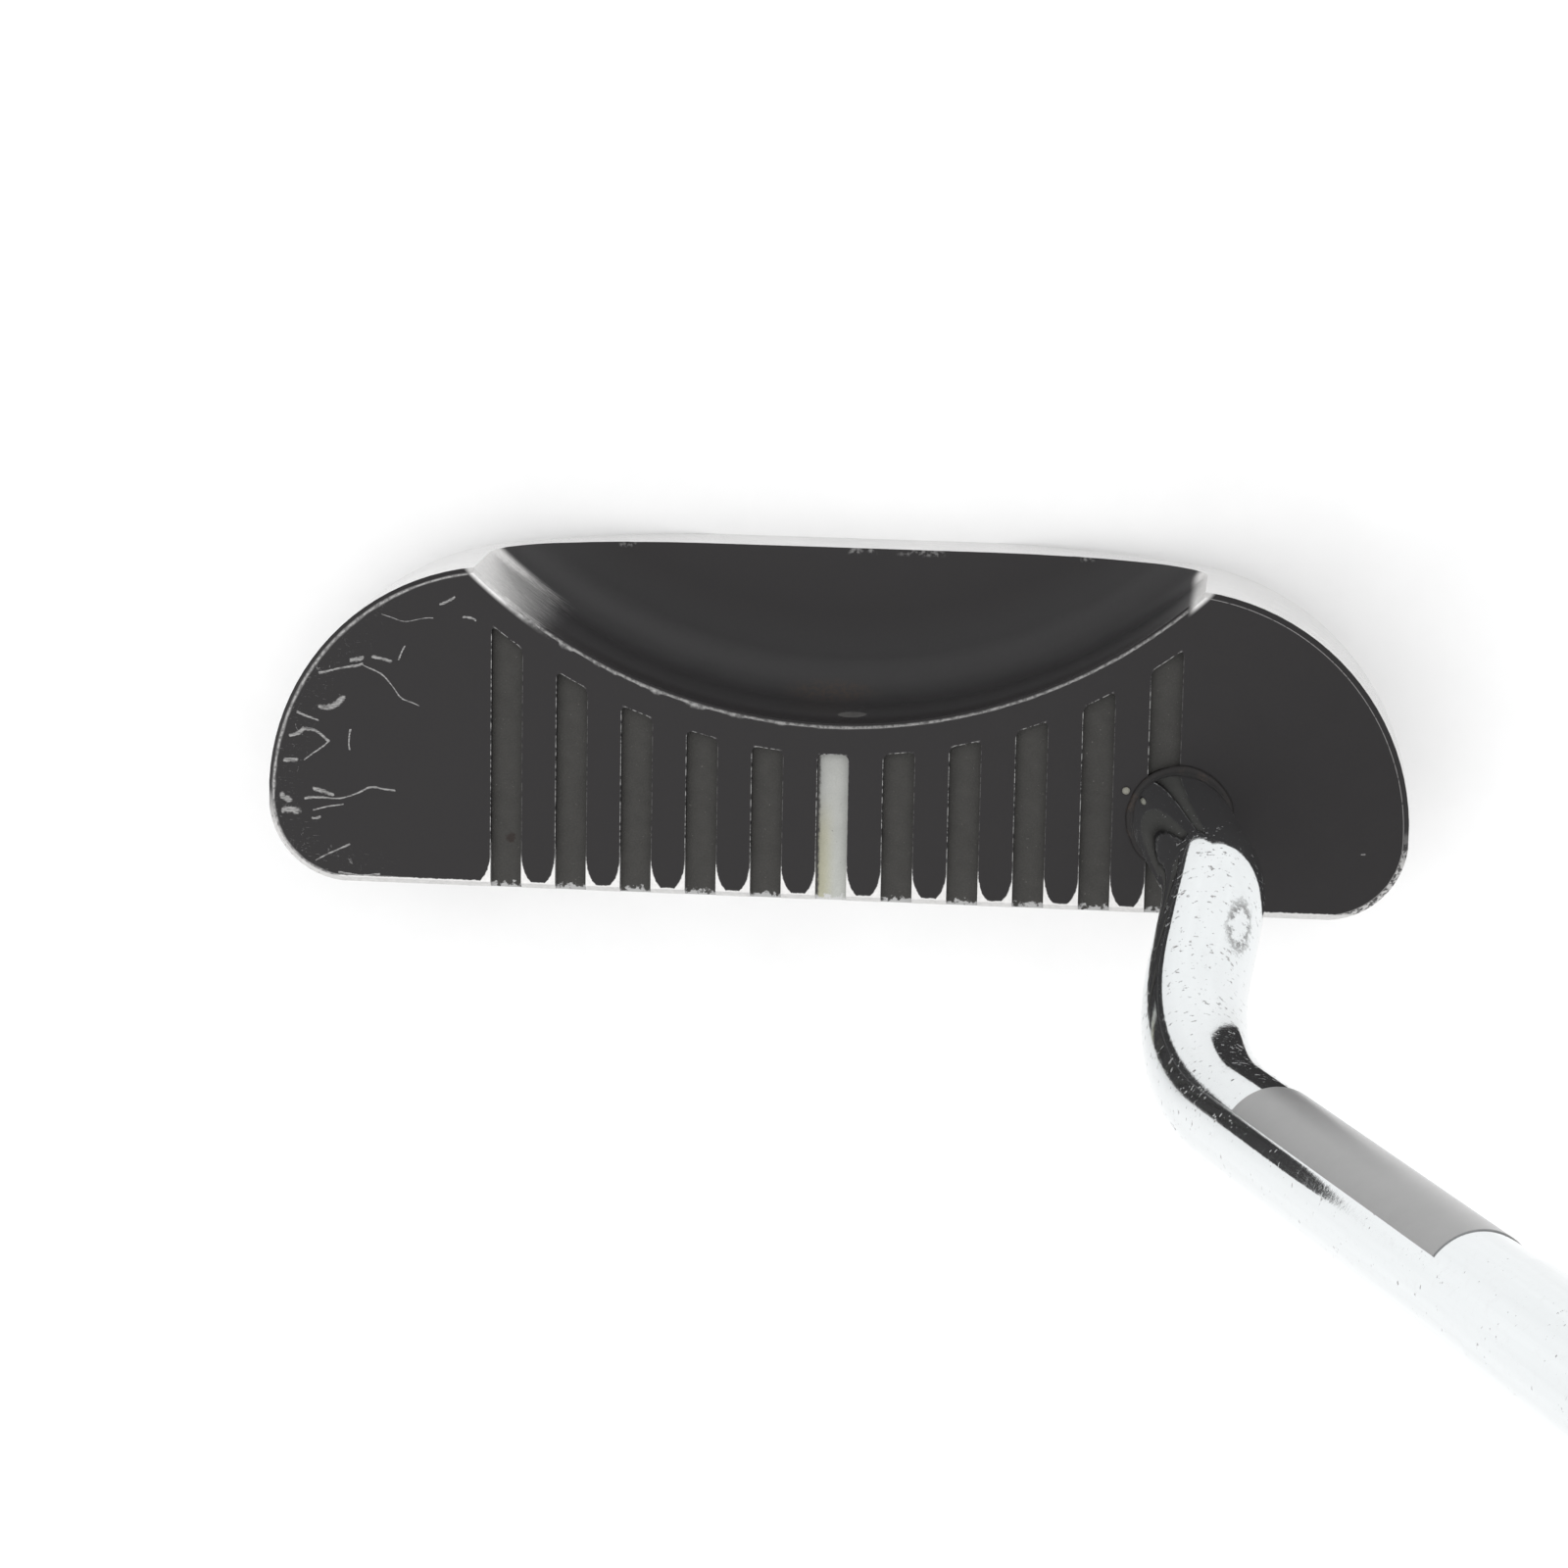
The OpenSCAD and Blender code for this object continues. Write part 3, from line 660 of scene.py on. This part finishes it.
def epoxy():
    """Cured glue, nearly black and a little brown, with a painted pale highlight on one drop."""
    material, g, shader, units = start_material("Epoxy")
    grain = grain_of(g, units, 2.0, 0.9)
    cloud = g.noise(units, 0.9, 3.0, 0.6)
    from_glint_spot = g.distance(units, (*GLUE_DROPS[0][:2], HEAD_HEIGHT + 0.1))
    tone = g.mix(g.ramp(cloud, 0.52, 0.74), (0.0165, 0.0150, 0.0150, 1.0), (0.038, 0.028, 0.023, 1.0))
    # Painted highlight: a pale spot on the first stray drop.
    tone = g.mix(g.ramp(from_glint_spot, 0.60, 0.55), tone, (0.24, 0.235, 0.20, 1.0))
    g.feed(shader["Base Color"], g.vector("SCALE", tone, scale=grain[0]))
    g.feed(shader["Roughness"], g.ramp(grain[1], 0.3, 0.7, 0.42, 0.6))
    shader["Specular IOR Level"].default_value = 0.25
    g.feed(shader["Normal"], g.bump(cloud, 0.4, 0.0002))
    return material


def grain_of(g, units, scale, amount):
    return g.group(group_once("Grain", build_grain), Vector=units, Scale=scale, Amount=amount)


def plain_finish(name, dark, light, roughness, scale, metallic=0.0, bump=0.3, depth=0.00005):
    """A mottled finish between two tones."""
    material, g, shader, units = start_material(name)
    grain = grain_of(g, units, scale, 0.3)
    tone = g.mix(g.noise(units, scale * 0.3, 3.0, 0.6), dark, light)
    g.feed(shader["Base Color"], g.vector("SCALE", tone, scale=grain[0]))
    shader["Metallic"].default_value = metallic
    g.feed(shader["Roughness"], g.ramp(grain[1], 0.2, 0.8, roughness * 0.88, roughness * 1.12))
    g.feed(shader["Normal"], g.bump(grain[1], bump, depth))
    return material


def grip_rubber(settings):
    """Black rubber with a shallow cross-hatched tread, painted shade in its grooves and a little dust in
    them.
    """
    material, g, shader, units = start_material("Grip rubber")
    start = tuple(UPPER_CORNER + UPPER_DIR * GRIP_START)
    from_mouth = g.vector("SUBTRACT", units, start)
    along = g.vector("DOT_PRODUCT", from_mouth, tuple(UPPER_DIR))
    _, y, _ = g.split(from_mouth)
    lift = g.vector("DOT_PRODUCT", from_mouth, (UPPER_DIR.z, 0.0, -UPPER_DIR.x))
    around = g.times(g.math("ARCTAN2", y, lift), 11.0)
    one = g.math("SINE", g.times(g.plus(along, around), 2.1))
    two = g.math("SINE", g.times(g.minus(along, around), 2.1))
    tread = g.times(g.ramp(g.absolute(one), 0.1, 0.45), g.ramp(g.absolute(two), 0.1, 0.45))
    inside = g.times(g.ramp(along, 16.0, 18.0), g.ramp(along, GRIP_LEN - 26.0, GRIP_LEN - 28.0))
    off_flat = g.ramp(lift, -10.6, -9.4)
    tread = g.blend(g.times(inside, off_flat), 1.0, tread)
    grain = grain_of(g, units, 4.0, 0.5)
    dust = g.times(g.minus(1.0, tread), g.noise(units, 0.12, 3.0, 0.6))
    tone = g.mix(dust, opaque(settings.colour), grey(0.050, 0.05))
    # Painted shade: the tread's grooves are darkened to 0.55 of the rubber's tone.
    tone = g.vector("SCALE", tone, scale=g.blend(tread, 0.55, 1.0))
    g.feed(shader["Base Color"], g.vector("SCALE", tone, scale=grain[0]))
    g.feed(shader["Roughness"], g.blend(tread, 0.80, 0.46))
    shader["Specular IOR Level"].default_value = 0.4
    g.feed(shader["Normal"], g.bump(g.plus(tread, g.times(grain[1], 0.15)), 0.9, 0.0007))
    return material


# ---- user settings ------------------------------------------------------------------------
def colour_setting(name, description, default):
    return FloatVectorProperty(name=name, description=description, subtype="COLOR",
                               size=4, min=0, max=1, default=default)


class PutterHeadSettings(bpy.types.PropertyGroup):
    paint: colour_setting("Paint", "Colour of the head's paint", (0.0175, 0.0160, 0.0168, 1))
    grey: colour_setting("Groove enamel", "Colour of the ten grey grooves", (0.046, 0.0445, 0.0415, 1))
    white: colour_setting("Sight line", "Colour of the middle groove", (0.43, 0.44, 0.415, 1))
    edge: FloatProperty(name="Edge rounding", description="Radius of the head's worn edges", unit="LENGTH",
                        min=0.00002, max=0.0003, default=0.00010)
    end_round: FloatProperty(name="Groove end rounding",
                             description="Radius of the corners where a groove ends",
                             unit="LENGTH", min=0.0002, max=0.0012, default=0.0006)
    roughness: FloatProperty(name="Polish", description="Roughness of the polished outside", subtype="FACTOR",
                             min=0.02, max=1, default=0.24)


class PutterShaftSettings(bpy.types.PropertyGroup):
    segments: IntProperty(name="Segments", description="Sides round the tube", min=24, max=192, default=112)
    dent_at: FloatVectorProperty(name="Dent",
                                 description="Place of the dent on the lower leg, in millimetres",
                                 size=3, default=(39.63, -9.77, 51.1))
    label: colour_setting("Label", "Colour of the label", (0.30, 0.30, 0.30, 1))
    label_start: FloatProperty(name="Label start", description="Distance of the label above the second bend",
                               unit="LENGTH", min=0.018, max=0.03, default=0.0225)
    label_len: FloatProperty(name="Label length", description="Length of the label along the shaft",
                             unit="LENGTH", min=0.03, max=0.05, default=0.0415)
    label_from: FloatProperty(name="Label edge", description="Where the label starts round the shaft",
                              subtype="ANGLE", default=math.radians(-58))
    label_wrap: FloatProperty(name="Label wrap", description="How far the label goes round the shaft",
                              subtype="ANGLE", default=math.radians(200))


class PutterGripSettings(bpy.types.PropertyGroup):
    colour: colour_setting("Rubber", "Colour of the grip", (0.021, 0.021, 0.0215, 1))
    flat: FloatProperty(name="Flat", description="Distance of the thumb flat from the shaft's axis",
                        unit="LENGTH", min=0.010, max=0.012, default=0.011)


class PutterStageSettings(bpy.types.PropertyGroup):
    light: FloatProperty(name="Surround light", description="Strength of the even white surround",
                         min=0.2, max=3, default=1.08)
    horizon: FloatProperty(name="Horizon", description="Share of the surround light near the horizon",
                           subtype="FACTOR", min=0, max=1, default=0.30)
    floor: colour_setting("Floor", "Colour of the floor", (0.93, 0.93, 0.93, 1))


# ---- operators ----------------------------------------------------------------------------
class PUTTER_OT_head(bpy.types.Operator):
    """Models the milled head with rounded edges and worn paint"""
    bl_idname = "putter.make_head"
    bl_label = "Head"

    def execute(self, context):
        settings = context.scene.putter_head
        source = frame["nodes"]["head_body"]
        activate(source)
        bpy.ops.object.duplicate()
        piece = context.active_object
        bpy.ops.object.parent_clear(type="CLEAR_KEEP_TRANSFORM")
        if piece.data.has_custom_normals:
            bpy.ops.mesh.customdata_custom_splitnormals_clear()
        edit(piece)
        bpy.ops.mesh.remove_doubles(threshold=2e-6)
        bpy.ops.mesh.dissolve_limited(angle_limit=math.radians(0.4))
        self.round_groove_ends(piece, settings.end_round)
        leave_edit()
        apply_modifier(piece, "BEVEL", width=settings.edge, segments=2, limit_method="ANGLE",
                       angle_limit=math.radians(32), use_clamp_overlap=True, miter_outer="MITER_ARC")
        finish_piece(piece, "head", None, ["head_body"], angle=30)
        apply_modifier(piece, "WEIGHTED_NORMAL", keep_sharp=True, weight=50)
        piece.data.materials.clear()
        piece.data.materials.append(black_paint(settings))
        piece.data.materials.append(polished_steel(settings))
        for face in piece.data.polygons:
            face.material_index = 0 if self.painted(face) else 1
        return {"FINISHED"}

    @staticmethod
    def round_groove_ends(piece, radius):
        """Bevels the upright edges where each groove's sides meet its closed end."""
        bpy.ops.mesh.select_mode(type="EDGE")
        bpy.ops.mesh.select_all(action="DESELECT")
        leave_edit()
        verts = piece.data.vertices
        chosen = 0
        for line in piece.data.edges:
            a, b = (verts[i].co / MM for i in line.vertices)
            upright = abs(a.x - b.x) < 0.01 and abs(a.y - b.y) < 0.01 and abs(a.z - b.z) > 1.4
            reach = math.hypot(a.x, a.y - SCOOP_Y)
            beside = abs(a.x - round(a.x / GROOVE_PITCH) * GROOVE_PITCH)
            at_corner = abs(beside - GROOVE_W / 2) < 0.02 and abs(reach - GROOVE_END_R) < 0.05
            if upright and at_corner and min(a.z, b.z) > HEAD_HEIGHT - 1.8:
                line.select = True
                chosen += 1
        if chosen != 2 * GROOVE_COUNT:
            raise RuntimeError(f"expected {2 * GROOVE_COUNT} groove end corners and found {chosen}")
        bpy.ops.object.mode_set(mode="EDIT")
        bpy.ops.mesh.bevel(offset=radius, segments=5, affect="EDGES", clamp_overlap=True)

    @staticmethod
    def painted(face):
        x, y, z = face.center / MM
        on_crown = z > HEAD_HEIGHT - RIM_BEVEL + 0.02
        from_scoop = math.hypot(x, y - SCOOP_Y) - SCOOP_R
        on_floor = z < FLANGE_T + 0.5
        in_scoop = from_scoop < (0.0 if on_floor else 0.5) and z > FLANGE_T - 0.2 and y < BACK_Y - 0.15
        faces_back = face.normal.y > 0.93 and abs(face.normal.z) < 0.2 and y > BACK_Y - 4.0
        outside = abs(abs(x) - HALF_LEN) < 0.1 or abs(y - FACE_Y) < 0.05
        in_groove = z > HEAD_HEIGHT - GROOVE_DEPTH - 0.1 and abs(x) < 33.4 and y > FACE_Y + 0.3
        return on_crown or (in_scoop and not faces_back) or (in_groove and not outside)


class PUTTER_OT_enamel(bpy.types.Operator):
    """Gives the groove fills their enamel"""
    bl_idname = "putter.make_enamel"
    bl_label = "Groove enamel"

    def execute(self, context):
        settings = context.scene.putter_head
        dull, bright = groove_enamel(settings, False), groove_enamel(settings, True)
        for name in frame["nodes"]:
            if name.startswith("groove_fill_") or name == "sight_line_fill":
                finish = bright if name == "sight_line_fill" else dull
                coat_node(name, finish)
        return {"FINISHED"}


class PUTTER_OT_plug(bpy.types.Operator):
    """Gives the plug in the scoop its worn metal"""
    bl_idname = "putter.make_plug"
    bl_label = "Scoop plug"

    def execute(self, context):
        finish = plain_finish("Worn plug", grey(0.05, 0.02), grey(0.16, 0.02), 0.5, 3.0, metallic=0.3)
        coat_node("scoop_plug", finish)
        return {"FINISHED"}


class PUTTER_OT_shaft(bpy.types.Operator):
    """Bends and steps the chrome shaft"""
    bl_idname = "putter.make_shaft"
    bl_label = "Shaft"

    def execute(self, context):
        settings = context.scene.putter_shaft
        lower = math.acos(TIP_DIR.dot(OFFSET_DIR))
        upper = math.acos(OFFSET_DIR.dot(UPPER_DIR))
        lower_cut, upper_cut = LOWER_BEND_R * math.tan(lower / 2), UPPER_BEND_R * math.tan(upper / 2)
        deselect()
        turn = TIP_DIR.to_track_quat("Z", "Y").to_euler()
        bpy.ops.mesh.primitive_circle_add(vertices=settings.segments, radius=TIP_R * MM,
                                          location=TIP_END * MM, rotation=turn)
        piece = context.active_object
        apply_place()
        edit(piece)
        loop_up(TIP_DIR, (LOWER_CORNER - TIP_END).length - lower_cut)
        self.bend(piece, LOWER_CORNER, TIP_DIR, OFFSET_DIR, LOWER_BEND_R, lower, lower_cut)
        loop_up(OFFSET_DIR, OFFSET_LEG - lower_cut - upper_cut)
        self.bend(piece, UPPER_CORNER, OFFSET_DIR, UPPER_DIR, UPPER_BEND_R, upper, upper_cut)
        loop_up(UPPER_DIR, TIP_PARALLEL - upper_cut)
        done, radius = TIP_PARALLEL, TIP_R
        for step in range(1, STEP_COUNT + 2):
            wider = TIP_R + (BUTT_R - TIP_R) * step / (STEP_COUNT + 1)
            loop_up(UPPER_DIR, STEP_RISE, wider / radius, UPPER_CORNER + UPPER_DIR * (done + STEP_RISE))
            length = STEP_LEN if step <= STEP_COUNT else UPPER_LEN - TIP_PARALLEL - STEP_COUNT * STEP_LEN
            loop_up(UPPER_DIR, length - STEP_RISE)
            done, radius = done + length, wider
        leave_edit()
        end = piece.data.vertices[-1].co / MM
        if (end - BUTT_END).length > BUTT_R + 0.2:
            raise RuntimeError(f"the shaft ends at {tuple(end)} and not at {tuple(BUTT_END)}")
        edit(piece)
        bpy.ops.mesh.normals_make_consistent(inside=False)
        leave_edit()
        apply_modifier(piece, "SOLIDIFY", thickness=TUBE_T * MM, offset=-1.0, use_even_offset=True)
        finish_piece(piece, "chrome_shaft", chrome_plate(settings), ["shaft"], angle=20)
        return {"FINISHED"}

    @staticmethod
    def bend(piece, corner, before, after, radius, angle, cut):
        """Spins the open loop round a bend."""
        inward = (after - before * before.dot(after)).normalized()
        centre = corner - before * cut + inward * radius
        axis = before.cross(inward).normalized()
        bpy.ops.mesh.spin(steps=28, angle=SPIN_SIGN * angle, center=centre * MM, axis=axis)
        leave_edit()
        chosen = [v.co for v in piece.data.vertices if v.select]
        middle = sum(chosen, Vector()) / len(chosen) / MM
        bpy.ops.object.mode_set(mode="EDIT")
        if (middle - corner - after * cut).length > 0.05:
            raise RuntimeError(f"the bend at {tuple(corner)} ends at {tuple(middle)}")


class PUTTER_OT_glue(bpy.types.Operator):
    """Models the glue as a solid plug in the bore with its bead on the crown, and three stray drops"""
    bl_idname = "putter.make_glue"
    bl_label = "Glue"

    def execute(self, context):
        settings = context.scene.putter_shaft
        deselect()
        outer = TIP_R + GLUE_T - 0.005
        turn = TIP_DIR.to_track_quat("Z", "Y").to_euler()
        bpy.ops.mesh.primitive_circle_add(vertices=96, radius=outer * MM, rotation=turn, fill_type="NGON",
                                          location=(BORE_END + TIP_DIR * 0.01) * MM)
        piece = context.active_object
        apply_place()
        edit(piece)
        loop_up(TIP_DIR, BORE_DEPTH)
        floor = Vector((BORE_MOUTH.x, BORE_MOUTH.y, HEAD_HEIGHT + 0.015))
        bpy.ops.transform.resize(value=(1, 1, 0), center_override=floor * MM)
        for widen, rise in BEAD_RINGS:
            bpy.ops.mesh.extrude_region_move(TRANSFORM_OT_translate={"value": Vector((0, 0, rise)) * MM})
            bpy.ops.transform.resize(value=(widen, widen, 1), center_override=floor * MM)
        leave_edit()
        for vert in piece.data.vertices:
            spot = vert.co / MM
            if spot.z > HEAD_HEIGHT + 0.05:
                push = noise.noise(spot * 0.9) * 0.12
                vert.co += Vector((spot.x - BORE_MOUTH.x, spot.y - BORE_MOUTH.y, 0)).normalized() * push * MM
        for drop_x, drop_y, size in GLUE_DROPS:
            spot = (drop_x * MM, drop_y * MM, (HEAD_HEIGHT + size * 0.35) * MM)
            bpy.ops.mesh.primitive_uv_sphere_add(segments=24, ring_count=14, radius=size * MM, location=spot)
            drop = context.active_object
            drop.scale = (1.0, 0.95, 0.8)
            activate(drop)
            apply_place()
            drop.select_set(True)
            piece.select_set(True)
            context.view_layer.objects.active = piece
            bpy.ops.object.join()
        finish_piece(piece, "tip_glue", epoxy(), ["shaft_glue"], angle=60)
        return {"FINISHED"}


class PUTTER_OT_label(bpy.types.Operator):
    """Wraps the plain label round the shaft"""
    bl_idname = "putter.make_label"
    bl_label = "Label"

    def execute(self, context):
        settings = context.scene.putter_shaft
        deselect()
        bpy.ops.mesh.primitive_plane_add(size=1, rotation=(math.pi / 2, 0, 0))
        piece = context.active_object
        apply_place()
        radius = (TIP_R + LABEL_GAP) * MM
        edit(piece)
        bpy.ops.transform.resize(value=(0.0, 1, settings.label_len))
        bpy.ops.mesh.remove_doubles(threshold=1e-6)
        bpy.ops.transform.translate(value=(radius, 0, settings.label_len / 2))
        bpy.ops.mesh.subdivide(number_cuts=3)
        bpy.ops.mesh.spin(steps=80, angle=settings.label_wrap, center=(0, 0, 0), axis=(0, 0, 1))
        bpy.ops.mesh.select_all(action="SELECT")
        weld()
        leave_edit()
        apply_modifier(piece, "SOLIDIFY", thickness=LABEL_T * MM, offset=1.0)
        self.check_turn(piece, settings)
        place(piece, UPPER_CORNER + UPPER_DIR * (settings.label_start / MM), UPPER_DIR)
        finish = plain_finish("Grey foil", grey(0.27), opaque(settings.label), 0.36, 1.6,
                              metallic=0.35, bump=0.15, depth=0.00002)
        coat = next(n for n in finish.node_tree.nodes if n.type == "BSDF_PRINCIPLED").inputs
        coat["Coat Weight"].default_value = 0.7
        coat["Coat Roughness"].default_value = 0.28
        finish_piece(piece, "plain_label", finish, ["shaft_label"])
        return {"FINISHED"}

    @staticmethod
    def check_turn(piece, settings):
        """Turns the wrap so that it runs from the label's edge angle, whichever way it was spun."""
        middle = sum((v.co for v in piece.data.vertices), Vector()) / len(piece.data.vertices)
        wanted = settings.label_from + settings.label_wrap / 2
        turn = wanted - math.atan2(middle.y, middle.x)
        piece.data.transform(Matrix.Rotation(turn, 4, "Z"))


class PUTTER_OT_grip(bpy.types.Operator):
    """Models the swelling grip with its flat, rings and vented cap"""
    bl_idname = "putter.make_grip"
    bl_label = "Grip"

    def execute(self, context):
        settings = context.scene.putter_grip
        deselect()
        mouth_r, cap_r = GRIP_MOUTH_R, GRIP_CAP_R
        hollow, tape = BUTT_R + 0.02, BUTT_R + 0.27
        profile = [(hollow, 0.0), (mouth_r - 1.0, 0.0), (mouth_r - 0.3, 0.3), (mouth_r, 1.0), (mouth_r, 3.0)]
        for ring in range(3):
            z = 3.6 + ring * 2.6
            profile += [(mouth_r - 0.45, z), (mouth_r - 0.45, z + 0.8),
                        (mouth_r, z + 1.2), (mouth_r, z + 2.4)]
        last = profile[-1][1]
        for share in range(1, 13):
            t = share / 12
            ease = t * t * (3 - 2 * t) * 0.35 + t * 0.65
            profile.append((mouth_r + (cap_r - 1.5 - mouth_r) * ease, last + (165.5 - last) * t))
        profile += [(13.2, 200.0), (cap_r, 227.0), (cap_r, GRIP_LEN - 16.0), (cap_r - 0.4, GRIP_LEN - 15.4),
                    (cap_r - 0.4, GRIP_LEN - 14.6), (cap_r, GRIP_LEN - 14.0), (cap_r, GRIP_LEN - 3.5)]
        for turn in range(1, 7):
            a = math.radians(15 * turn)
            profile.append((cap_r - 3.5 + 3.5 * math.cos(a), GRIP_LEN - 3.5 + 3.5 * math.sin(a)))
        under_cap = GRIP_LEN - GRIP_CAP_T + 0.02
        profile += [(4.2, GRIP_LEN), (4.0, GRIP_LEN - 0.4), (2.2, GRIP_LEN - 0.4), (VENT_R, GRIP_LEN - 0.7),
                    (VENT_R, under_cap), (tape, under_cap), (tape, GRIP_LIP),
                    (hollow, GRIP_LIP - 0.1), (hollow, 0.0)]
        piece = revolve("grip_form", profile, 128)
        edit(piece)
        weld()
        leave_edit()
        flat = settings.flat
        for vert in piece.data.vertices:
            if vert.co.x < -flat:
                vert.co.x = -flat - (abs(vert.co.x) - flat) * 0.04
        place(piece, UPPER_CORNER + UPPER_DIR * GRIP_START, UPPER_DIR)
        finish_piece(piece, "rubber_grip", grip_rubber(settings), ["grip"], angle=40)
        return {"FINISHED"}


class PUTTER_OT_tape(bpy.types.Operator):
    """Gives the tape under the grip its crepe paper"""
    bl_idname = "putter.make_tape"
    bl_label = "Grip tape"

    def execute(self, context):
        finish = plain_finish("Crepe tape", (0.50, 0.45, 0.30, 1), (0.66, 0.60, 0.43, 1), 0.8, 2.5,
                              depth=0.0002)
        coat_node("grip_tape", finish)
        return {"FINISHED"}


class PUTTER_OT_stage(bpy.types.Operator):
    """Sets the floor, the soft light and the camera"""
    bl_idname = "putter.make_stage"
    bl_label = "Stage"

    def execute(self, context):
        settings = context.scene.putter_stage
        deselect()
        bpy.ops.mesh.primitive_plane_add(size=6.0, location=(0, 0, 0))
        floor = context.active_object
        floor.name = "floor"
        finish = plain_finish("Pale floor", opaque(settings.floor), opaque(settings.floor),
                              0.9, 0.02)
        floor.data.materials.append(finish)
        world = bpy.data.worlds.new("White surround")
        world.use_nodes = True
        self.shade_surround(world.node_tree, settings)
        context.scene.world = world
        for name, at, size, power in LAMPS:
            bpy.ops.object.light_add(type="AREA", location=at)
            lamp = context.active_object
            lamp.name = name
            lamp.data.size = size
            lamp.data.energy = power
            lamp.rotation_euler = (Vector((0, 0, 0.02)) - Vector(at)).to_track_quat("-Z", "Y").to_euler()
        bpy.ops.object.camera_add()
        camera = context.active_object
        camera.name = "camera"
        camera.data.sensor_width = CAMERA_SENSOR
        camera.data.lens = CAMERA_LENS
        camera.data.clip_start = 0.01
        turn = Matrix((CAMERA_RIGHT, CAMERA_UP, CAMERA_RIGHT.cross(CAMERA_UP))).transposed().to_4x4()
        camera.matrix_world = Matrix.Translation(CAMERA_AT) @ turn
        context.scene.camera = camera
        context.scene.view_settings.view_transform = "Standard"
        return {"FINISHED"}

    @staticmethod
    def shade_surround(tree, settings):
        """Makes the surround bright overhead and darker near the horizon, behind a white backdrop."""
        g = Graph(tree)
        backdrop = tree.nodes["Background"]
        height = g.split(g.node("ShaderNodeTexCoord").outputs["Generated"])[2]
        level = g.ramp(height, 0.04, 0.42, settings.horizon, 1.0)
        seen = g.node("ShaderNodeLightPath").outputs["Is Camera Ray"]
        level = g.most(level, seen)
        g.feed(backdrop.inputs["Strength"], g.times(level, settings.light))
        backdrop.inputs["Color"].default_value = (1, 1, 1, 1)


class PUTTER_PT_panel(bpy.types.Panel):
    """Lists the putter's pieces and their settings"""
    bl_idname = "PUTTER_PT_panel"
    bl_label = "Putter"
    bl_space_type = "VIEW_3D"
    bl_region_type = "UI"
    bl_category = "Putter"

    def draw(self, context):
        for operator in PIECES:
            self.layout.operator(operator.bl_idname)
        for group in SETTINGS:
            box = self.layout.box()
            values = getattr(context.scene, group)
            for key in values.bl_rna.properties.keys():
                if key not in ("rna_type", "name"):
                    box.prop(values, key)


PIECES = (PUTTER_OT_head, PUTTER_OT_enamel, PUTTER_OT_plug, PUTTER_OT_shaft, PUTTER_OT_glue,
          PUTTER_OT_label, PUTTER_OT_tape, PUTTER_OT_grip, PUTTER_OT_stage)
SETTINGS = {"putter_head": PutterHeadSettings, "putter_shaft": PutterShaftSettings,
            "putter_grip": PutterGripSettings, "putter_stage": PutterStageSettings}


def register():
    for item in (*SETTINGS.values(), *PIECES, PUTTER_PT_panel):
        bpy.utils.register_class(item)
    for name, group in SETTINGS.items():
        setattr(bpy.types.Scene, name, PointerProperty(type=group))


def unregister():
    for name in SETTINGS:
        delattr(bpy.types.Scene, name)
    for item in reversed((*SETTINGS.values(), *PIECES, PUTTER_PT_panel)):
        bpy.utils.unregister_class(item)


def main():
    register()
    for operator in PIECES:
        action = operator.bl_idname.split(".")[1]
        getattr(bpy.ops.putter, action)()


if __name__ == "__main__":
    main()
